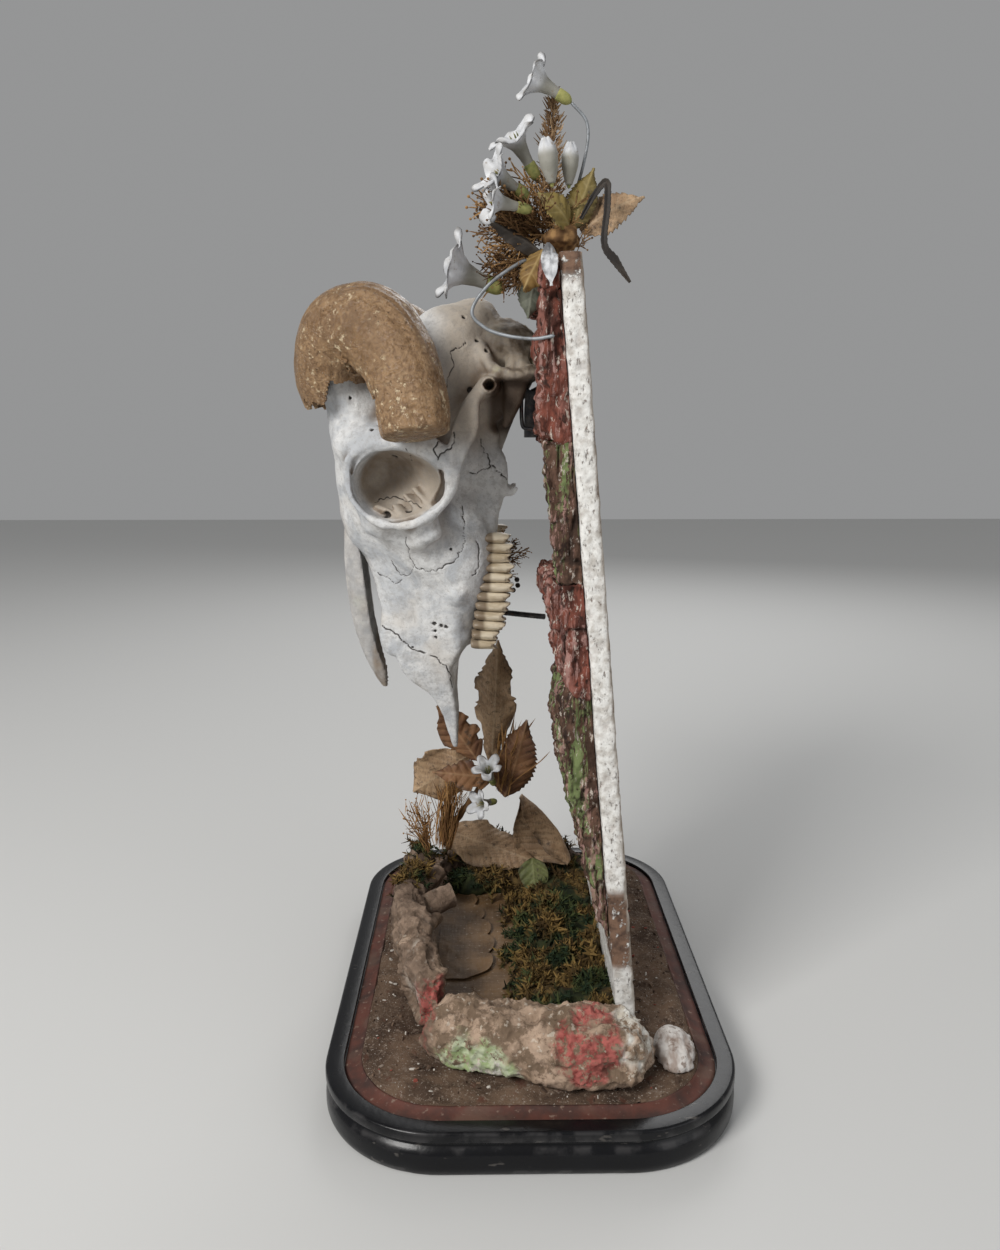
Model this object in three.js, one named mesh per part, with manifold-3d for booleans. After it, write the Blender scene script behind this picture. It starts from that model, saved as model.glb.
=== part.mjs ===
// A ram's skull with its horns, mounted nose down in front of an upright relief board.
// The board stands on an oval-cornered moulded plinth with a modelled pond, moss, dried leaves
// and fabric flowers. Millimetres, +Z up, +X from the skull to the board, +Y to the far side.
// The origin is the centre of the plinth's underside.
import * as THREE from "three";
import { mergeVertices } from "three/addons/utils/BufferGeometryUtils.js";
import Module from "manifold-3d";

const wasm = await Module();
wasm.setup();

// ---------------------------------------------------------------- driving dimensions
const GAP = 0.3; // clearance between pieces that touch
const PLINTH = { width: 200, length: 302, corner: 58 };
const LOWER_TIER = 14; // height of the rounded lower moulding
const COVE = { height: 2.5, depth: 3 }; // hollow between the two mouldings
const PLINTH_TOP = 22;
const RIM = 9; // flat black rim round the groove
const GROOVE = { width: 8, depth: 3 };
const GROUND_TOP = 25.5; // top of the soil bed
const BOARD = { thick: 10, halfWidth: 83, footX: 49.5, headX: 16, headZ: 399 };
const FLOOR_Z = GROUND_TOP + GAP; // what stands on the soil starts here
const LEAF_THICK = 0.8;
const HORN_SIDES = 12;

// ---------------------------------------------------------------- finishes
const finish = (color, roughness, metalness = 0) =>
  new THREE.MeshStandardMaterial({ color, roughness, metalness });
const blackWood = finish(0x17161a, 0.35);
const redBrown = finish(0x5a2a20, 0.8);
const soil = finish(0x6b5444, 0.95);
const paperWall = finish(0x9a8672, 0.9);
const pondSkin = finish(0x5d4a36, 0.8);
const moss = finish(0x4d4420, 1);
const plaster = finish(0xcac2b6, 0.85);
const barkRed = finish(0x7a3b2c, 0.9);
const barkGreen = finish(0x5f6b3d, 0.9);
const bone = finish(0xcfd0cf, 0.6);
const horn = finish(0x7d5a36, 0.5);
const darkSteel = finish(0x3a3a3c, 0.4, 0.8);
const greyWire = finish(0x8b8f92, 0.5, 0.4);
const tanLeaf = finish(0x9a7a52, 0.8);
const brownLeaf = finish(0x6a4426, 0.8);
const oliveLeaf = finish(0x6d5a22, 0.8);
const darkLeaf = finish(0x2f2a26, 0.8);
const greenLeaf = finish(0x6f7a35, 0.8);
const petal = finish(0xd8dcde, 0.8);
const dryGrass = finish(0x8a5a24, 0.9);

// ---------------------------------------------------------------- closed solids
const vec = (x, y, z) => new THREE.Vector3(x, y, z);

// A three.js geometry with only shared positions left, so that its seams and poles are closed.
function closed(geometry) {
  geometry.deleteAttribute("normal");
  geometry.deleteAttribute("uv");
  return mergeVertices(geometry, 1e-4);
}

function solid(geometry) {
  const merged = closed(geometry);
  return new wasm.Manifold(
    new wasm.Mesh({
      numProp: 3,
      vertProperties: new Float32Array(merged.attributes.position.array),
      triVerts: new Uint32Array(merged.index.array),
    }),
  );
}

const join = (...solids) => solids.reduce((a, b) => a.add(b));
const cut = (first, ...others) => others.reduce((a, b) => a.subtract(b), first);

// The largest body left of a solid.
const biggest = (made) =>
  made.decompose().reduce((a, b) => (a.volume() > b.volume() ? a : b));

// A solid made larger by the working clearance, to cut a neighbour back from it.
function grown(made, by = GAP) {
  const moves = [];
  for (const axis of [0, 1, 2]) {
    for (const sign of [-1, 1]) {
      const step = [0, 0, 0];
      step[axis] = sign * by;
      moves.push(made.translate(step));
    }
  }
  return join(...moves);
}

const trimmed = (made, ...others) => biggest(cut(made, ...others.map((other) => grown(other))));
const mirrored = (made) => made.mirror([0, 1, 0]);

const box = (low, high) =>
  solid(
    new THREE.BoxGeometry(high[0] - low[0], high[1] - low[1], high[2] - low[2]).translate(
      (low[0] + high[0]) / 2,
      (low[1] + high[1]) / 2,
      (low[2] + high[2]) / 2,
    ),
  );

// An ellipsoid, tilted about the Y axis.
const ball = (centre, radii, tilt = 0, around = 10, along = 7) =>
  solid(
    new THREE.SphereGeometry(1, around, along)
      .scale(...radii)
      .rotateY(THREE.MathUtils.degToRad(tilt))
      .translate(...centre),
  );

// A bar of oval section along a smooth curve. A station is [x, y, z, half width, half thickness];
// the width lies along `wide`. `tip` is the share of the length over which each end rounds off.
function bar(stations, { wide = vec(0, 1, 0), sides = 8, steps = 8, tip = 0.12 } = {}) {
  const curve = new THREE.CatmullRomCurve3(stations.map(([x, y, z]) => vec(x, y, z)));
  const body = closed(new THREE.CylinderGeometry(1, 1, 1, sides, steps));
  const position = body.attributes.position;
  for (let i = 0; i < position.count; i++) {
    const along = 0.5 - position.getY(i);
    const place = along * (stations.length - 1);
    const from = Math.min(Math.floor(place), stations.length - 2);
    const half = [3, 4].map((k) =>
      THREE.MathUtils.lerp(stations[from][k], stations[from + 1][k], place - from),
    );
    const nearEnd = tip ? Math.max(0, (Math.abs(2 * along - 1) - 1 + tip) / tip) : 0;
    const rounding = Math.max(0.25, Math.sqrt(1 - nearEnd * nearEnd));
    const tangent = curve.getTangent(along);
    const across = wide.clone().addScaledVector(tangent, -wide.dot(tangent)).normalize();
    const through = tangent.clone().cross(across);
    const point = curve
      .getPoint(along)
      .addScaledVector(across, position.getX(i) * half[0] * rounding)
      .addScaledVector(through, position.getZ(i) * half[1] * rounding);
    position.setXYZ(i, point.x, point.y, point.z);
  }
  return solid(body);
}

// A rounded rectangle, `inset` inside the plinth's outline.
function plinthOutline(inset) {
  const halfWidth = PLINTH.width / 2 - inset;
  const halfLength = PLINTH.length / 2 - inset;
  const radius = PLINTH.corner - inset;
  const shape = new THREE.Shape();
  shape.absarc(halfWidth - radius, halfLength - radius, radius, 0, Math.PI / 2);
  shape.absarc(radius - halfWidth, halfLength - radius, radius, Math.PI / 2, Math.PI);
  shape.absarc(radius - halfWidth, radius - halfLength, radius, Math.PI, 1.5 * Math.PI);
  shape.absarc(halfWidth - radius, radius - halfLength, radius, 1.5 * Math.PI, 2 * Math.PI);
  return shape;
}

// A plate of that outline from one height to another, its edge eased by `ease`.
function plinthPlate(inset, from, to, ease = 0, bevelSegments = 1) {
  const geometry = new THREE.ExtrudeGeometry(plinthOutline(inset + ease), {
    depth: to - from - 2 * ease,
    bevelEnabled: ease > 0,
    bevelThickness: ease,
    bevelSize: ease,
    bevelSegments,
    curveSegments: 3,
  });
  return solid(geometry.translate(0, 0, from + ease));
}

// ---------------------------------------------------------------- the scene graph
const group = new THREE.Group();

function place(name, made, material) {
  const mesh = made.getMesh();
  const geometry = new THREE.BufferGeometry();
  geometry.setAttribute("position", new THREE.BufferAttribute(mesh.vertProperties, 3));
  geometry.setIndex(new THREE.BufferAttribute(mesh.triVerts, 1));
  geometry.computeVertexNormals();
  const part = new THREE.Mesh(geometry, material);
  part.name = name;
  group.add(part);
  return made;
}

// ---------------------------------------------------------------- plinth and ground
const grooveFloor = PLINTH_TOP - GROOVE.depth;
const grooveCut = cut(
  plinthPlate(RIM, grooveFloor, PLINTH_TOP + 1),
  plinthPlate(RIM + GROOVE.width, grooveFloor - 1, PLINTH_TOP + 2),
);
place(
  "base_plinth",
  cut(
    join(
      plinthPlate(0, 0, LOWER_TIER, 3, 2),
      plinthPlate(COVE.depth, LOWER_TIER - 1, LOWER_TIER + COVE.height + 1),
      plinthPlate(0, LOWER_TIER + COVE.height, PLINTH_TOP, 1.2, 1),
    ),
    grooveCut,
  ),
  blackWood,
);
place(
  "groove_lining",
  cut(
    plinthPlate(RIM + GAP, grooveFloor + GAP, grooveFloor + 1.2),
    plinthPlate(RIM + GROOVE.width - GAP, grooveFloor - 1, PLINTH_TOP),
  ),
  redBrown,
);
place("ground_bed", plinthPlate(RIM + GROOVE.width + 0.5, PLINTH_TOP + GAP, GROUND_TOP, 1, 1), soil);
const belowGround = box([-110, -160, -40], [110, 160, FLOOR_Z]);

// ---------------------------------------------------------------- board and its relief
// The board leans back towards the skull: its mid-plane at a height.
const boardSlope = (BOARD.headX - BOARD.footX) / (BOARD.headZ - FLOOR_Z);
const boardX = (z) => BOARD.footX + boardSlope * (z - FLOOR_Z);

// A slab across the board's width, from an outline of [x, z] corners.
function slab(corners, nearY, farY) {
  const shape = new THREE.Shape(corners.map(([x, z]) => new THREE.Vector2(x, z)));
  const geometry = new THREE.ExtrudeGeometry(shape, { depth: farY - nearY, bevelEnabled: false });
  return solid(geometry.rotateX(Math.PI / 2).translate(0, farY, 0));
}
const backOf = (z, gap = GAP) => boardX(z) - BOARD.thick / 2 - gap;
const onBoard = (depths) => [
  ...depths.map(([z, depth]) => [backOf(z) - depth, z]),
  ...depths.map(([z]) => [backOf(z), z]).reverse(),
];

const board = place(
  "relief_board",
  slab(
    [
      [boardX(FLOOR_Z) - BOARD.thick / 2, FLOOR_Z],
      [boardX(FLOOR_Z) + BOARD.thick / 2, FLOOR_Z],
      [boardX(BOARD.headZ) + BOARD.thick / 2, BOARD.headZ],
      [boardX(BOARD.headZ) - BOARD.thick / 2, BOARD.headZ],
    ],
    -BOARD.halfWidth,
    BOARD.halfWidth,
  ),
  plaster,
);
const topStrip = place(
  "relief_top_strip",
  slab(onBoard([[384.4, 7], [388, 9], [396, 7]]), -80, 60),
  barkRed,
);
const upperBlock = place(
  "relief_upper_block",
  join(
    slab(onBoard([[318, 9], [324, 13], [336, 12]]), -80, 4),
    slab(onBoard([[335, 12], [345, 11], [370, 9.5], [384, 7]]), -80, -34),
  ),
  barkRed,
);
place("relief_face_strip", slab(onBoard([[253.5, 11], [280, 12], [317.6, 13]]), -80, -60), barkGreen);
const middleBlock = place(
  "relief_middle_block",
  slab(onBoard([[198.4, 5], [203, 11], [228, 13], [246, 17], [253.1, 15]]), -81, 6),
  barkRed,
);
place(
  "relief_bark_slab",
  slab(onBoard([[74, 1], [92, 4.2], [112, 8], [146, 13], [165, 14.5], [190, 12.5], [198, 6]]), -78, 24),
  barkGreen,
);

// ---------------------------------------------------------------- pond on the ground
const frontWall = trimmed(
  bar(
    [
      [-50, -98, 32, 12, 14],
      [-30, -100, 38, 17, 18],
      [0, -106, 36, 19, 17],
      [30, -112, 38, 21, 19],
      [56, -104, 34, 17, 16],
    ],
    { sides: 10, steps: 8, tip: 0.2 },
  ),
  belowGround,
  board,
);
place("pond_wall_front", frontWall, paperWall);
const leftWall = trimmed(
  bar(
    [
      [-45, -84, 36, 9, 20],
      [-56, -52, 42, 10, 20],
      [-64, 0, 43, 11, 20],
      [-66, 40, 43, 11, 21],
      [-60, 84, 40, 9, 19],
    ],
    { wide: vec(1, 0, 0), sides: 8, steps: 10, tip: 0.15 },
  ),
  belowGround,
  frontWall,
);
place("pond_wall_left", leftWall, paperWall);
const backWall = trimmed(
  bar(
    [
      [-52, 92, 34, 8, 13],
      [-20, 104, 36, 10, 14],
      [16, 104, 36, 10, 15],
      [44, 94, 34, 7, 12],
    ],
    { sides: 8, steps: 6, tip: 0.2 },
  ),
  belowGround,
  leftWall,
  board,
);
place("pond_wall_back", backWall, moss);
const mossOutline = new THREE.Shape();
mossOutline.moveTo(2, -84);
mossOutline.lineTo(42, -84);
mossOutline.lineTo(42, 82);
mossOutline.lineTo(-40, 84);
mossOutline.splineThru([
  new THREE.Vector2(-38, 70),
  new THREE.Vector2(8, 60),
  new THREE.Vector2(14, 10),
  new THREE.Vector2(2, -40),
  new THREE.Vector2(2, -84),
]);
const mossBank = trimmed(
  solid(
    new THREE.ExtrudeGeometry(mossOutline, {
      depth: 7,
      bevelThickness: 2.5,
      bevelSize: 2.5,
      bevelSegments: 1,
      curveSegments: 3,
    }).translate(0, 0, FLOOR_Z + 2.5),
  ),
  frontWall,
  leftWall,
  backWall,
  board,
);
place("moss_bank", mossBank, moss);
const floorOutline = new THREE.Shape();
floorOutline.splineThru(
  [
    [-34, -74],
    [-6, -80],
    [-6, -40],
    [6, 10],
    [2, 48],
    [-44, 60],
    [-50, 0],
    [-44, -50],
  ].map(([x, y]) => new THREE.Vector2(x, y)),
);
const pondFloor = trimmed(
  solid(
    new THREE.ExtrudeGeometry(floorOutline, {
      depth: 1.6,
      bevelEnabled: false,
      curveSegments: 2,
    }).translate(0, 0, FLOOR_Z),
  ),
  leftWall,
);
place("pond_floor", pondFloor, pondSkin);
place(
  "pale_stone",
  trimmed(ball([70, -100, FLOOR_Z + 1], [10, 17, 8], 0, 10, 8), belowGround, frontWall, board),
  plaster,
);

// ---------------------------------------------------------------- the skull
// Cross-sections of the facial bones and frontals from the nose up. `dorsal` and `palate` are the
// two edges along X; the half widths belong to those edges.
const FACE = [
  { z: 199, dorsal: -70, palate: -37, dorsalHalf: 9, palateHalf: 15 },
  { z: 206, dorsal: -77, palate: -33, dorsalHalf: 11, palateHalf: 19 },
  { z: 215, dorsal: -84, palate: -26, dorsalHalf: 13, palateHalf: 24 },
  { z: 228, dorsal: -88, palate: -22, dorsalHalf: 14, palateHalf: 29 },
  { z: 244, dorsal: -90, palate: -19, dorsalHalf: 16, palateHalf: 33 },
  { z: 258, dorsal: -93, palate: -17, dorsalHalf: 20, palateHalf: 35 },
  { z: 270, dorsal: -95, palate: -16, dorsalHalf: 27, palateHalf: 36 },
  { z: 280, dorsal: -97, palate: -26, dorsalHalf: 34, palateHalf: 32 },
  { z: 300, dorsal: -98, palate: -32, dorsalHalf: 40, palateHalf: 24 },
  { z: 322, dorsal: -99, palate: -30, dorsalHalf: 42, palateHalf: 26 },
  { z: 342, dorsal: -98, palate: -30, dorsalHalf: 40, palateHalf: 32 },
  { z: 356, dorsal: -86, palate: -34, dorsalHalf: 30, palateHalf: 32 },
  { z: 368, dorsal: -66, palate: -38, dorsalHalf: 16, palateHalf: 20 },
];

// A body through those sections, squarish where `SQUARENESS` is under 1.
const SQUARENESS = 0.8;
function faceBody() {
  const keys = ["dorsal", "palate", "dorsalHalf", "palateHalf"];
  const track = new THREE.CubicInterpolant(
    FACE.map((s) => s.z),
    FACE.flatMap((s) => keys.map((k) => s[k])),
    keys.length,
    new Float32Array(keys.length),
  );
  const low = FACE[0].z;
  const high = FACE[FACE.length - 1].z;
  const body = closed(new THREE.CylinderGeometry(1, 1, 1, 16, 12));
  const position = body.attributes.position;
  const soften = (value) => Math.sign(value) * Math.abs(value) ** SQUARENESS;
  for (let i = 0; i < position.count; i++) {
    const z = THREE.MathUtils.lerp(low, high, position.getY(i) + 0.5);
    const [dorsal, palate, dorsalHalf, palateHalf] = track.evaluate(z);
    const toPalate = (soften(position.getX(i)) + 1) / 2;
    const half = THREE.MathUtils.lerp(dorsalHalf, palateHalf, toPalate);
    const x = THREE.MathUtils.lerp(dorsal, palate, toPalate);
    position.setXYZ(i, x, -half * soften(position.getZ(i)), z);
  }
  return solid(body);
}

// Bones that come in pairs, given for the near side.
const pair = (made) => join(made, mirrored(made));
const near = -1;

const braincase = join(
  ball([-34, 0, 346], [38, 35, 34], 0, 12, 8),
  ball([-28, 0, 375], [14, 20, 15], 0, 8, 6),
  ball([-7, 0, 362], [20, 31, 17], 22, 10, 6),
);
const condyles = pair(ball([3, near * 11, 350], [8, 9, 10], 0, 8, 5));
const skullBase = join(
  bar([[-24, 0, 286, 6, 7], [-18, 0, 310, 9, 7], [-12, 0, 332, 13, 7], [-2, 0, 350, 14, 8]], {
    steps: 5,
  }),
  pair(ball([-13, near * 21, 336], [8, 8, 11], 0, 8, 5)),
  pair(bar([[-6, near * 27, 352, 5, 6], [0, near * 27, 334, 2, 4]], { sides: 6, steps: 2 })),
);
const pterygoids = pair(
  join(
    ball([-22, near * 15, 298], [16, 4, 30], 8, 8, 6),
    bar([[-10, near * 16, 300, 2.5, 5], [-2, near * 17, 292, 1.2, 1.5]], { sides: 5, steps: 2 }),
  ),
);
const orbitCup = pair(ball([-65, near * 36, 298], [27, 22, 26], 0, 12, 7));
const orbitRim = pair(
  solid(
    new THREE.TorusGeometry(20.5, 3.4, 5, 14)
      .rotateX(Math.PI / 2)
      .scale(1.02, 1, 0.98)
      .rotateZ(THREE.MathUtils.degToRad(-9))
      .translate(-65.5, near * 52, 297.5),
  ),
);
const zygomatic = pair(
  bar(
    [
      [-60, near * 46, 270, 5, 12],
      [-48, near * 51, 282, 4.5, 9],
      [-40, near * 53, 299, 4, 6.5],
      [-33, near * 51, 318, 3.5, 5.5],
      [-27, near * 46, 333, 4, 5.5],
      [-20, near * 36, 345, 6, 6],
    ],
    { steps: 8, sides: 5 },
  ),
);
const postorbitalBar = pair(
  bar([[-58, near * 38, 330, 7, 9], [-49, near * 49, 316, 4, 6], [-41, near * 53, 300, 4, 6]], {
    steps: 4,
    sides: 5,
  }),
);
const malar = pair(ball([-50, near * 26, 266], [25, 13, 17], 30, 8, 6));
const tuber = pair(ball([-35, near * 31, 240], [6, 5, 6], 0, 6, 4));
const earTube = pair(
  bar([[-19, near * 28, 344, 5, 5], [-19, near * 42, 344, 4.5, 4.5]], {
    wide: vec(1, 0, 0),
    sides: 7,
    steps: 1,
    tip: 0,
  }),
);
const hornCore = pair(
  bar([[-80, near * 20, 322, 16, 20], [-90, near * 27, 340, 15, 16], [-93, near * 31, 356, 11, 12]], {
    sides: 8,
    steps: 3,
    tip: 0.3,
  }),
);
const premaxilla = pair(
  bar(
    [
      [-57, near * 18, 209, 4, 22],
      [-54.5, near * 16, 196, 3.2, 14.5],
      [-47, near * 13.5, 182, 2.6, 7.4],
      [-43, near * 10.5, 168, 2.4, 5],
      [-41.6, near * 8, 158, 2.2, 3.4],
      [-40.6, near * 6, 150.5, 1.8, 2.2],
    ],
    { sides: 6, steps: 8, tip: 0.06 },
  ),
);
const palateFront = bar(
  [[-33, 0, 214, 20, 3], [-36, 0, 194, 15, 2], [-38, 0, 176, 9, 1.6]],
  { sides: 8, steps: 6 },
);
const nasalCavity = bar(
  [[-57, 0, 190, 12, 16], [-62, 0, 206, 12, 20], [-66, 0, 226, 11, 17], [-68, 0, 248, 7, 10]],
  { steps: 5, tip: 0.15 },
);
const palateHollow = bar(
  [[-12, 0, 208, 11, 9], [-10, 0, 230, 14, 9], [-8, 0, 262, 16, 10], [-6, 0, 290, 15, 10]],
  { steps: 4 },
);
const orbitHollow = pair(ball([-64, near * 50, 297], [19.5, 27, 18.5], 0, 14, 8));
const infratemporal = pair(
  join(
    ball([-24, near * 36, 297], [16, 15, 18], -20, 8, 6),
    ball([-37, near * 45, 312], [11, 10, 22], -18, 8, 6),
  ),
);

// Six cheek teeth a side, standing out from the gum line.
const TEETH = { count: 6, gumLow: [-25, 208.5], gumHigh: [-17, 271], crown: 13, root: 7, width: 10 };
function toothRow() {
  const crowns = [];
  const pitch = (TEETH.gumHigh[1] - TEETH.gumLow[1]) / TEETH.count;
  for (let i = 0; i < TEETH.count; i++) {
    const share = (i + 0.5) / TEETH.count;
    const x = THREE.MathUtils.lerp(TEETH.gumLow[0], TEETH.gumHigh[0], share);
    const z = THREE.MathUtils.lerp(TEETH.gumLow[1], TEETH.gumHigh[1], share);
    const crown = TEETH.crown * Math.sin(Math.PI * (0.22 + 0.62 * share));
    const length = crown + TEETH.root;
    crowns.push(
      solid(
        new THREE.BoxGeometry(length, TEETH.width, pitch - 0.6)
          .rotateY(THREE.MathUtils.degToRad(7))
          .translate(x + length / 2 - TEETH.root, near * 23, z),
      ),
    );
  }
  return join(...crowns);
}
const teeth = pair(toothRow());

let cranium = join(faceBody(), braincase, orbitCup, malar);
cranium = cut(cranium, nasalCavity, palateHollow, infratemporal);
cranium = join(cranium, condyles, skullBase, pterygoids, orbitRim, zygomatic, postorbitalBar);
cranium = cut(cranium, orbitHollow);
cranium = join(cranium, tuber, earTube, hornCore, premaxilla, palateFront, teeth);

// ---------------------------------------------------------------- horns and nasal bones
// A horn leaves its core above the brow, curls back and out, and ends sawn off level with the
// eye socket. Stations run from the base to the sawn end.
const HORN = [
  [-91.5, -26, 336, 17, 14.5],
  [-95.5, -31, 353, 18, 18],
  [-89, -39, 367, 19, 20],
  [-75, -49, 369, 19, 20],
  [-62.5, -58, 357, 18, 18],
  [-55.5, -65, 338, 16.5, 16.5],
  [-53, -69, 318.5, 15.7, 15.7],
];
// The far horn is a little wider in its curl: how far each station moves along X and Z.
const FAR_CURL = [[0, 0], [0, 0], [2, 3], [4, 4], [7, 6], [9, 7], [9, 7]];
const HORN_BASE = { x: -92, y: -26, z: 340, tilt: 38 }; // the rim is higher at the back of the core

// Each nasal bone is a thin curved tongue, free of the jaw along its lower half.
const NASAL = [
  [-91, -8.5, 262, 8, 2.6],
  [-92, -8.5, 246, 8, 2.8],
  [-90.5, -8, 226, 7.6, 3],
  [-86, -6.8, 206, 6, 3],
  [-81, -4.8, 192, 4, 2.4],
  [-78.5, -3.4, 184.5, 2.6, 1.6],
];

const widened = (stations, margin) =>
  stations.map(([x, y, z, a, b]) => [x, y, z, a + margin, b + margin]);

function sheath(stations, margin = 0) {
  const belowRim = solid(
    new THREE.BoxGeometry(60, 46, 30)
      .translate(0, 0, -15)
      .rotateY(THREE.MathUtils.degToRad(-HORN_BASE.tilt))
      .translate(HORN_BASE.x, HORN_BASE.y, HORN_BASE.z - margin),
  );
  return biggest(cut(bar(widened(stations, margin), { sides: HORN_SIDES, steps: 14, tip: 0 }), belowRim));
}
const nasal = (margin = 0) => bar(widened(NASAL, margin), { steps: 8, tip: 0.1 });

const farHorn = HORN.map(([x, y, z, a, b], i) => [x + FAR_CURL[i][0], y, z + FAR_CURL[i][1], a, b]);
const hornSpace = join(sheath(HORN, GAP), mirrored(sheath(farHorn, GAP)));
place("cranium", biggest(cut(cranium, hornSpace, pair(nasal(GAP)))), bone);
place("horn_left", sheath(HORN), horn);
place("horn_right", mirrored(sheath(farHorn)), horn);
const midGap = box([-120, -GAP / 2, 150], [0, 30, 300]);
place("nasal_left", cut(nasal(), midGap), bone);
place("nasal_right", mirrored(cut(nasal(), midGap)), bone);

// ---------------------------------------------------------------- fixings
const round = (points, radius, options = {}) =>
  bar(points.map((p) => [...p, radius, radius]), { sides: 8, steps: 6, tip: 0, ...options });
place(
  "support_rod",
  trimmed(
    round([[-24, 0, 226.5], [-10, 0, 225], [12.5, 0, 222.6]], 1.6, { steps: 4 }),
    cranium,
    middleBlock,
  ),
  darkSteel,
);
const bracket = place(
  "hook_bracket",
  trimmed(box([-1, -16, 319], [8.5, -4, 345]), cranium, upperBlock),
  darkSteel,
);
place(
  "wire_hook",
  trimmed(
    join(
      round([[-3, -22, 343], [-2.6, -22, 325]], 1, { sides: 6, steps: 1 }),
      round([[-3.2, -22, 324.4], [6, -22, 323]], 1, { sides: 6, steps: 1 }),
      round([[5.4, -22.6, 323], [5.4, -15, 323]], 1, { sides: 6, steps: 1, wide: vec(1, 0, 0) }),
    ),
    bracket,
    upperBlock,
    cranium,
  ),
  darkSteel,
);

// ---------------------------------------------------------------- dried leaves
// A leaf blade from root to tip that faces `normal`, bowed by `bow` and cupped by `cup`.
function leaf(root, tip, width, { normal = [0, -1, 0], bow = 0, cup = 0, fullness = 0.8 } = {}) {
  const start = vec(...root);
  const along = vec(...tip).sub(start);
  const length = along.length();
  along.normalize();
  const out = vec(...normal);
  out.addScaledVector(along, -out.dot(along)).normalize();
  const across = out.clone().cross(along);
  const blade = closed(new THREE.BoxGeometry(1, 1, 1, 6, 2, 1));
  const position = blade.attributes.position;
  for (let i = 0; i < position.count; i++) {
    const u = position.getX(i) + 0.5;
    const v = position.getY(i) * 2;
    const half = (width / 2) * Math.max(0.06, Math.sin(Math.PI * u ** fullness));
    const lift = bow * 4 * u * (1 - u) - cup * v * v + position.getZ(i) * LEAF_THICK;
    const point = start
      .clone()
      .addScaledVector(along, u * length)
      .addScaledVector(across, v * half)
      .addScaledVector(out, lift);
    position.setXYZ(i, point.x, point.y, point.z);
  }
  return solid(blade);
}

// Whether the boxes of two solids come within a millimetre of each other.
function close(one, other) {
  const a = one.boundingBox();
  const b = other.boundingBox();
  return [0, 1, 2].every((k) => a.min[k] < b.max[k] + 1 && b.min[k] < a.max[k] + 1);
}

// Pieces of a bunch are placed in turn, each cut back from those before it and from `fixed`.
function bunch(pieces, fixed) {
  const taken = [...fixed];
  for (const [name, made, material] of pieces) {
    const neighbours = taken.filter((other) => close(made, other));
    taken.push(place(name, trimmed(made, ...neighbours), material));
  }
}

// A five-petalled trumpet flower on its tube. `foot` is the narrow end, `mouth` the open centre.
function flower(foot, mouth, radius) {
  const start = vec(...foot);
  const axis = vec(...mouth).sub(start);
  const length = axis.length();
  const profile = [
    [0, 0],
    [0.14, 0],
    [0.2, 0.55],
    [0.45, 0.8],
    [1, 0.97],
    [0.97, 1.03],
    [0.36, 0.9],
    [0, 0.78],
  ].map(([r, h]) => new THREE.Vector2(r * radius, h * length));
  const cup = closed(new THREE.LatheGeometry(profile, 10));
  const position = cup.attributes.position;
  for (let i = 0; i < position.count; i++) {
    const angle = Math.atan2(position.getZ(i), position.getX(i));
    const flare = THREE.MathUtils.smoothstep(position.getY(i), length * 0.6, length);
    const lobe = 1 - 0.3 * flare * (0.5 - 0.5 * Math.cos(5 * angle));
    position.setX(i, position.getX(i) * lobe);
    position.setZ(i, position.getZ(i) * lobe);
  }
  cup.applyQuaternion(new THREE.Quaternion().setFromUnitVectors(vec(0, 1, 0), axis.normalize()));
  return solid(cup.translate(...foot));
}

// A spray of thin dry stalks that fan out from one root.
function spray(root, axis, length, spread, count, radius = 0.6) {
  const stalks = [ball(root, [2.2, 2.2, 2.2], 0, 6, 4)];
  const main = vec(...axis).normalize();
  const side = main.clone().cross(vec(0, 1, 0.2)).normalize();
  const other = main.clone().cross(side);
  const golden = Math.PI * (3 - Math.sqrt(5));
  for (let i = 0; i < count; i++) {
    const lean = spread * Math.sqrt((i + 0.5) / count);
    const turn = i * golden;
    const direction = main
      .clone()
      .multiplyScalar(Math.cos(lean))
      .addScaledVector(side, Math.sin(lean) * Math.cos(turn))
      .addScaledVector(other, Math.sin(lean) * Math.sin(turn));
    const reach = length * (0.75 + 0.25 * Math.cos(2.3 * i));
    const stalk = new THREE.CylinderGeometry(radius * 0.8, radius, reach, 3, 1);
    stalk.translate(0, reach / 2, 0);
    stalk.applyQuaternion(new THREE.Quaternion().setFromUnitVectors(vec(0, 1, 0), direction));
    stalks.push(solid(stalk.translate(...root)));
  }
  return join(...stalks);
}

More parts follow.
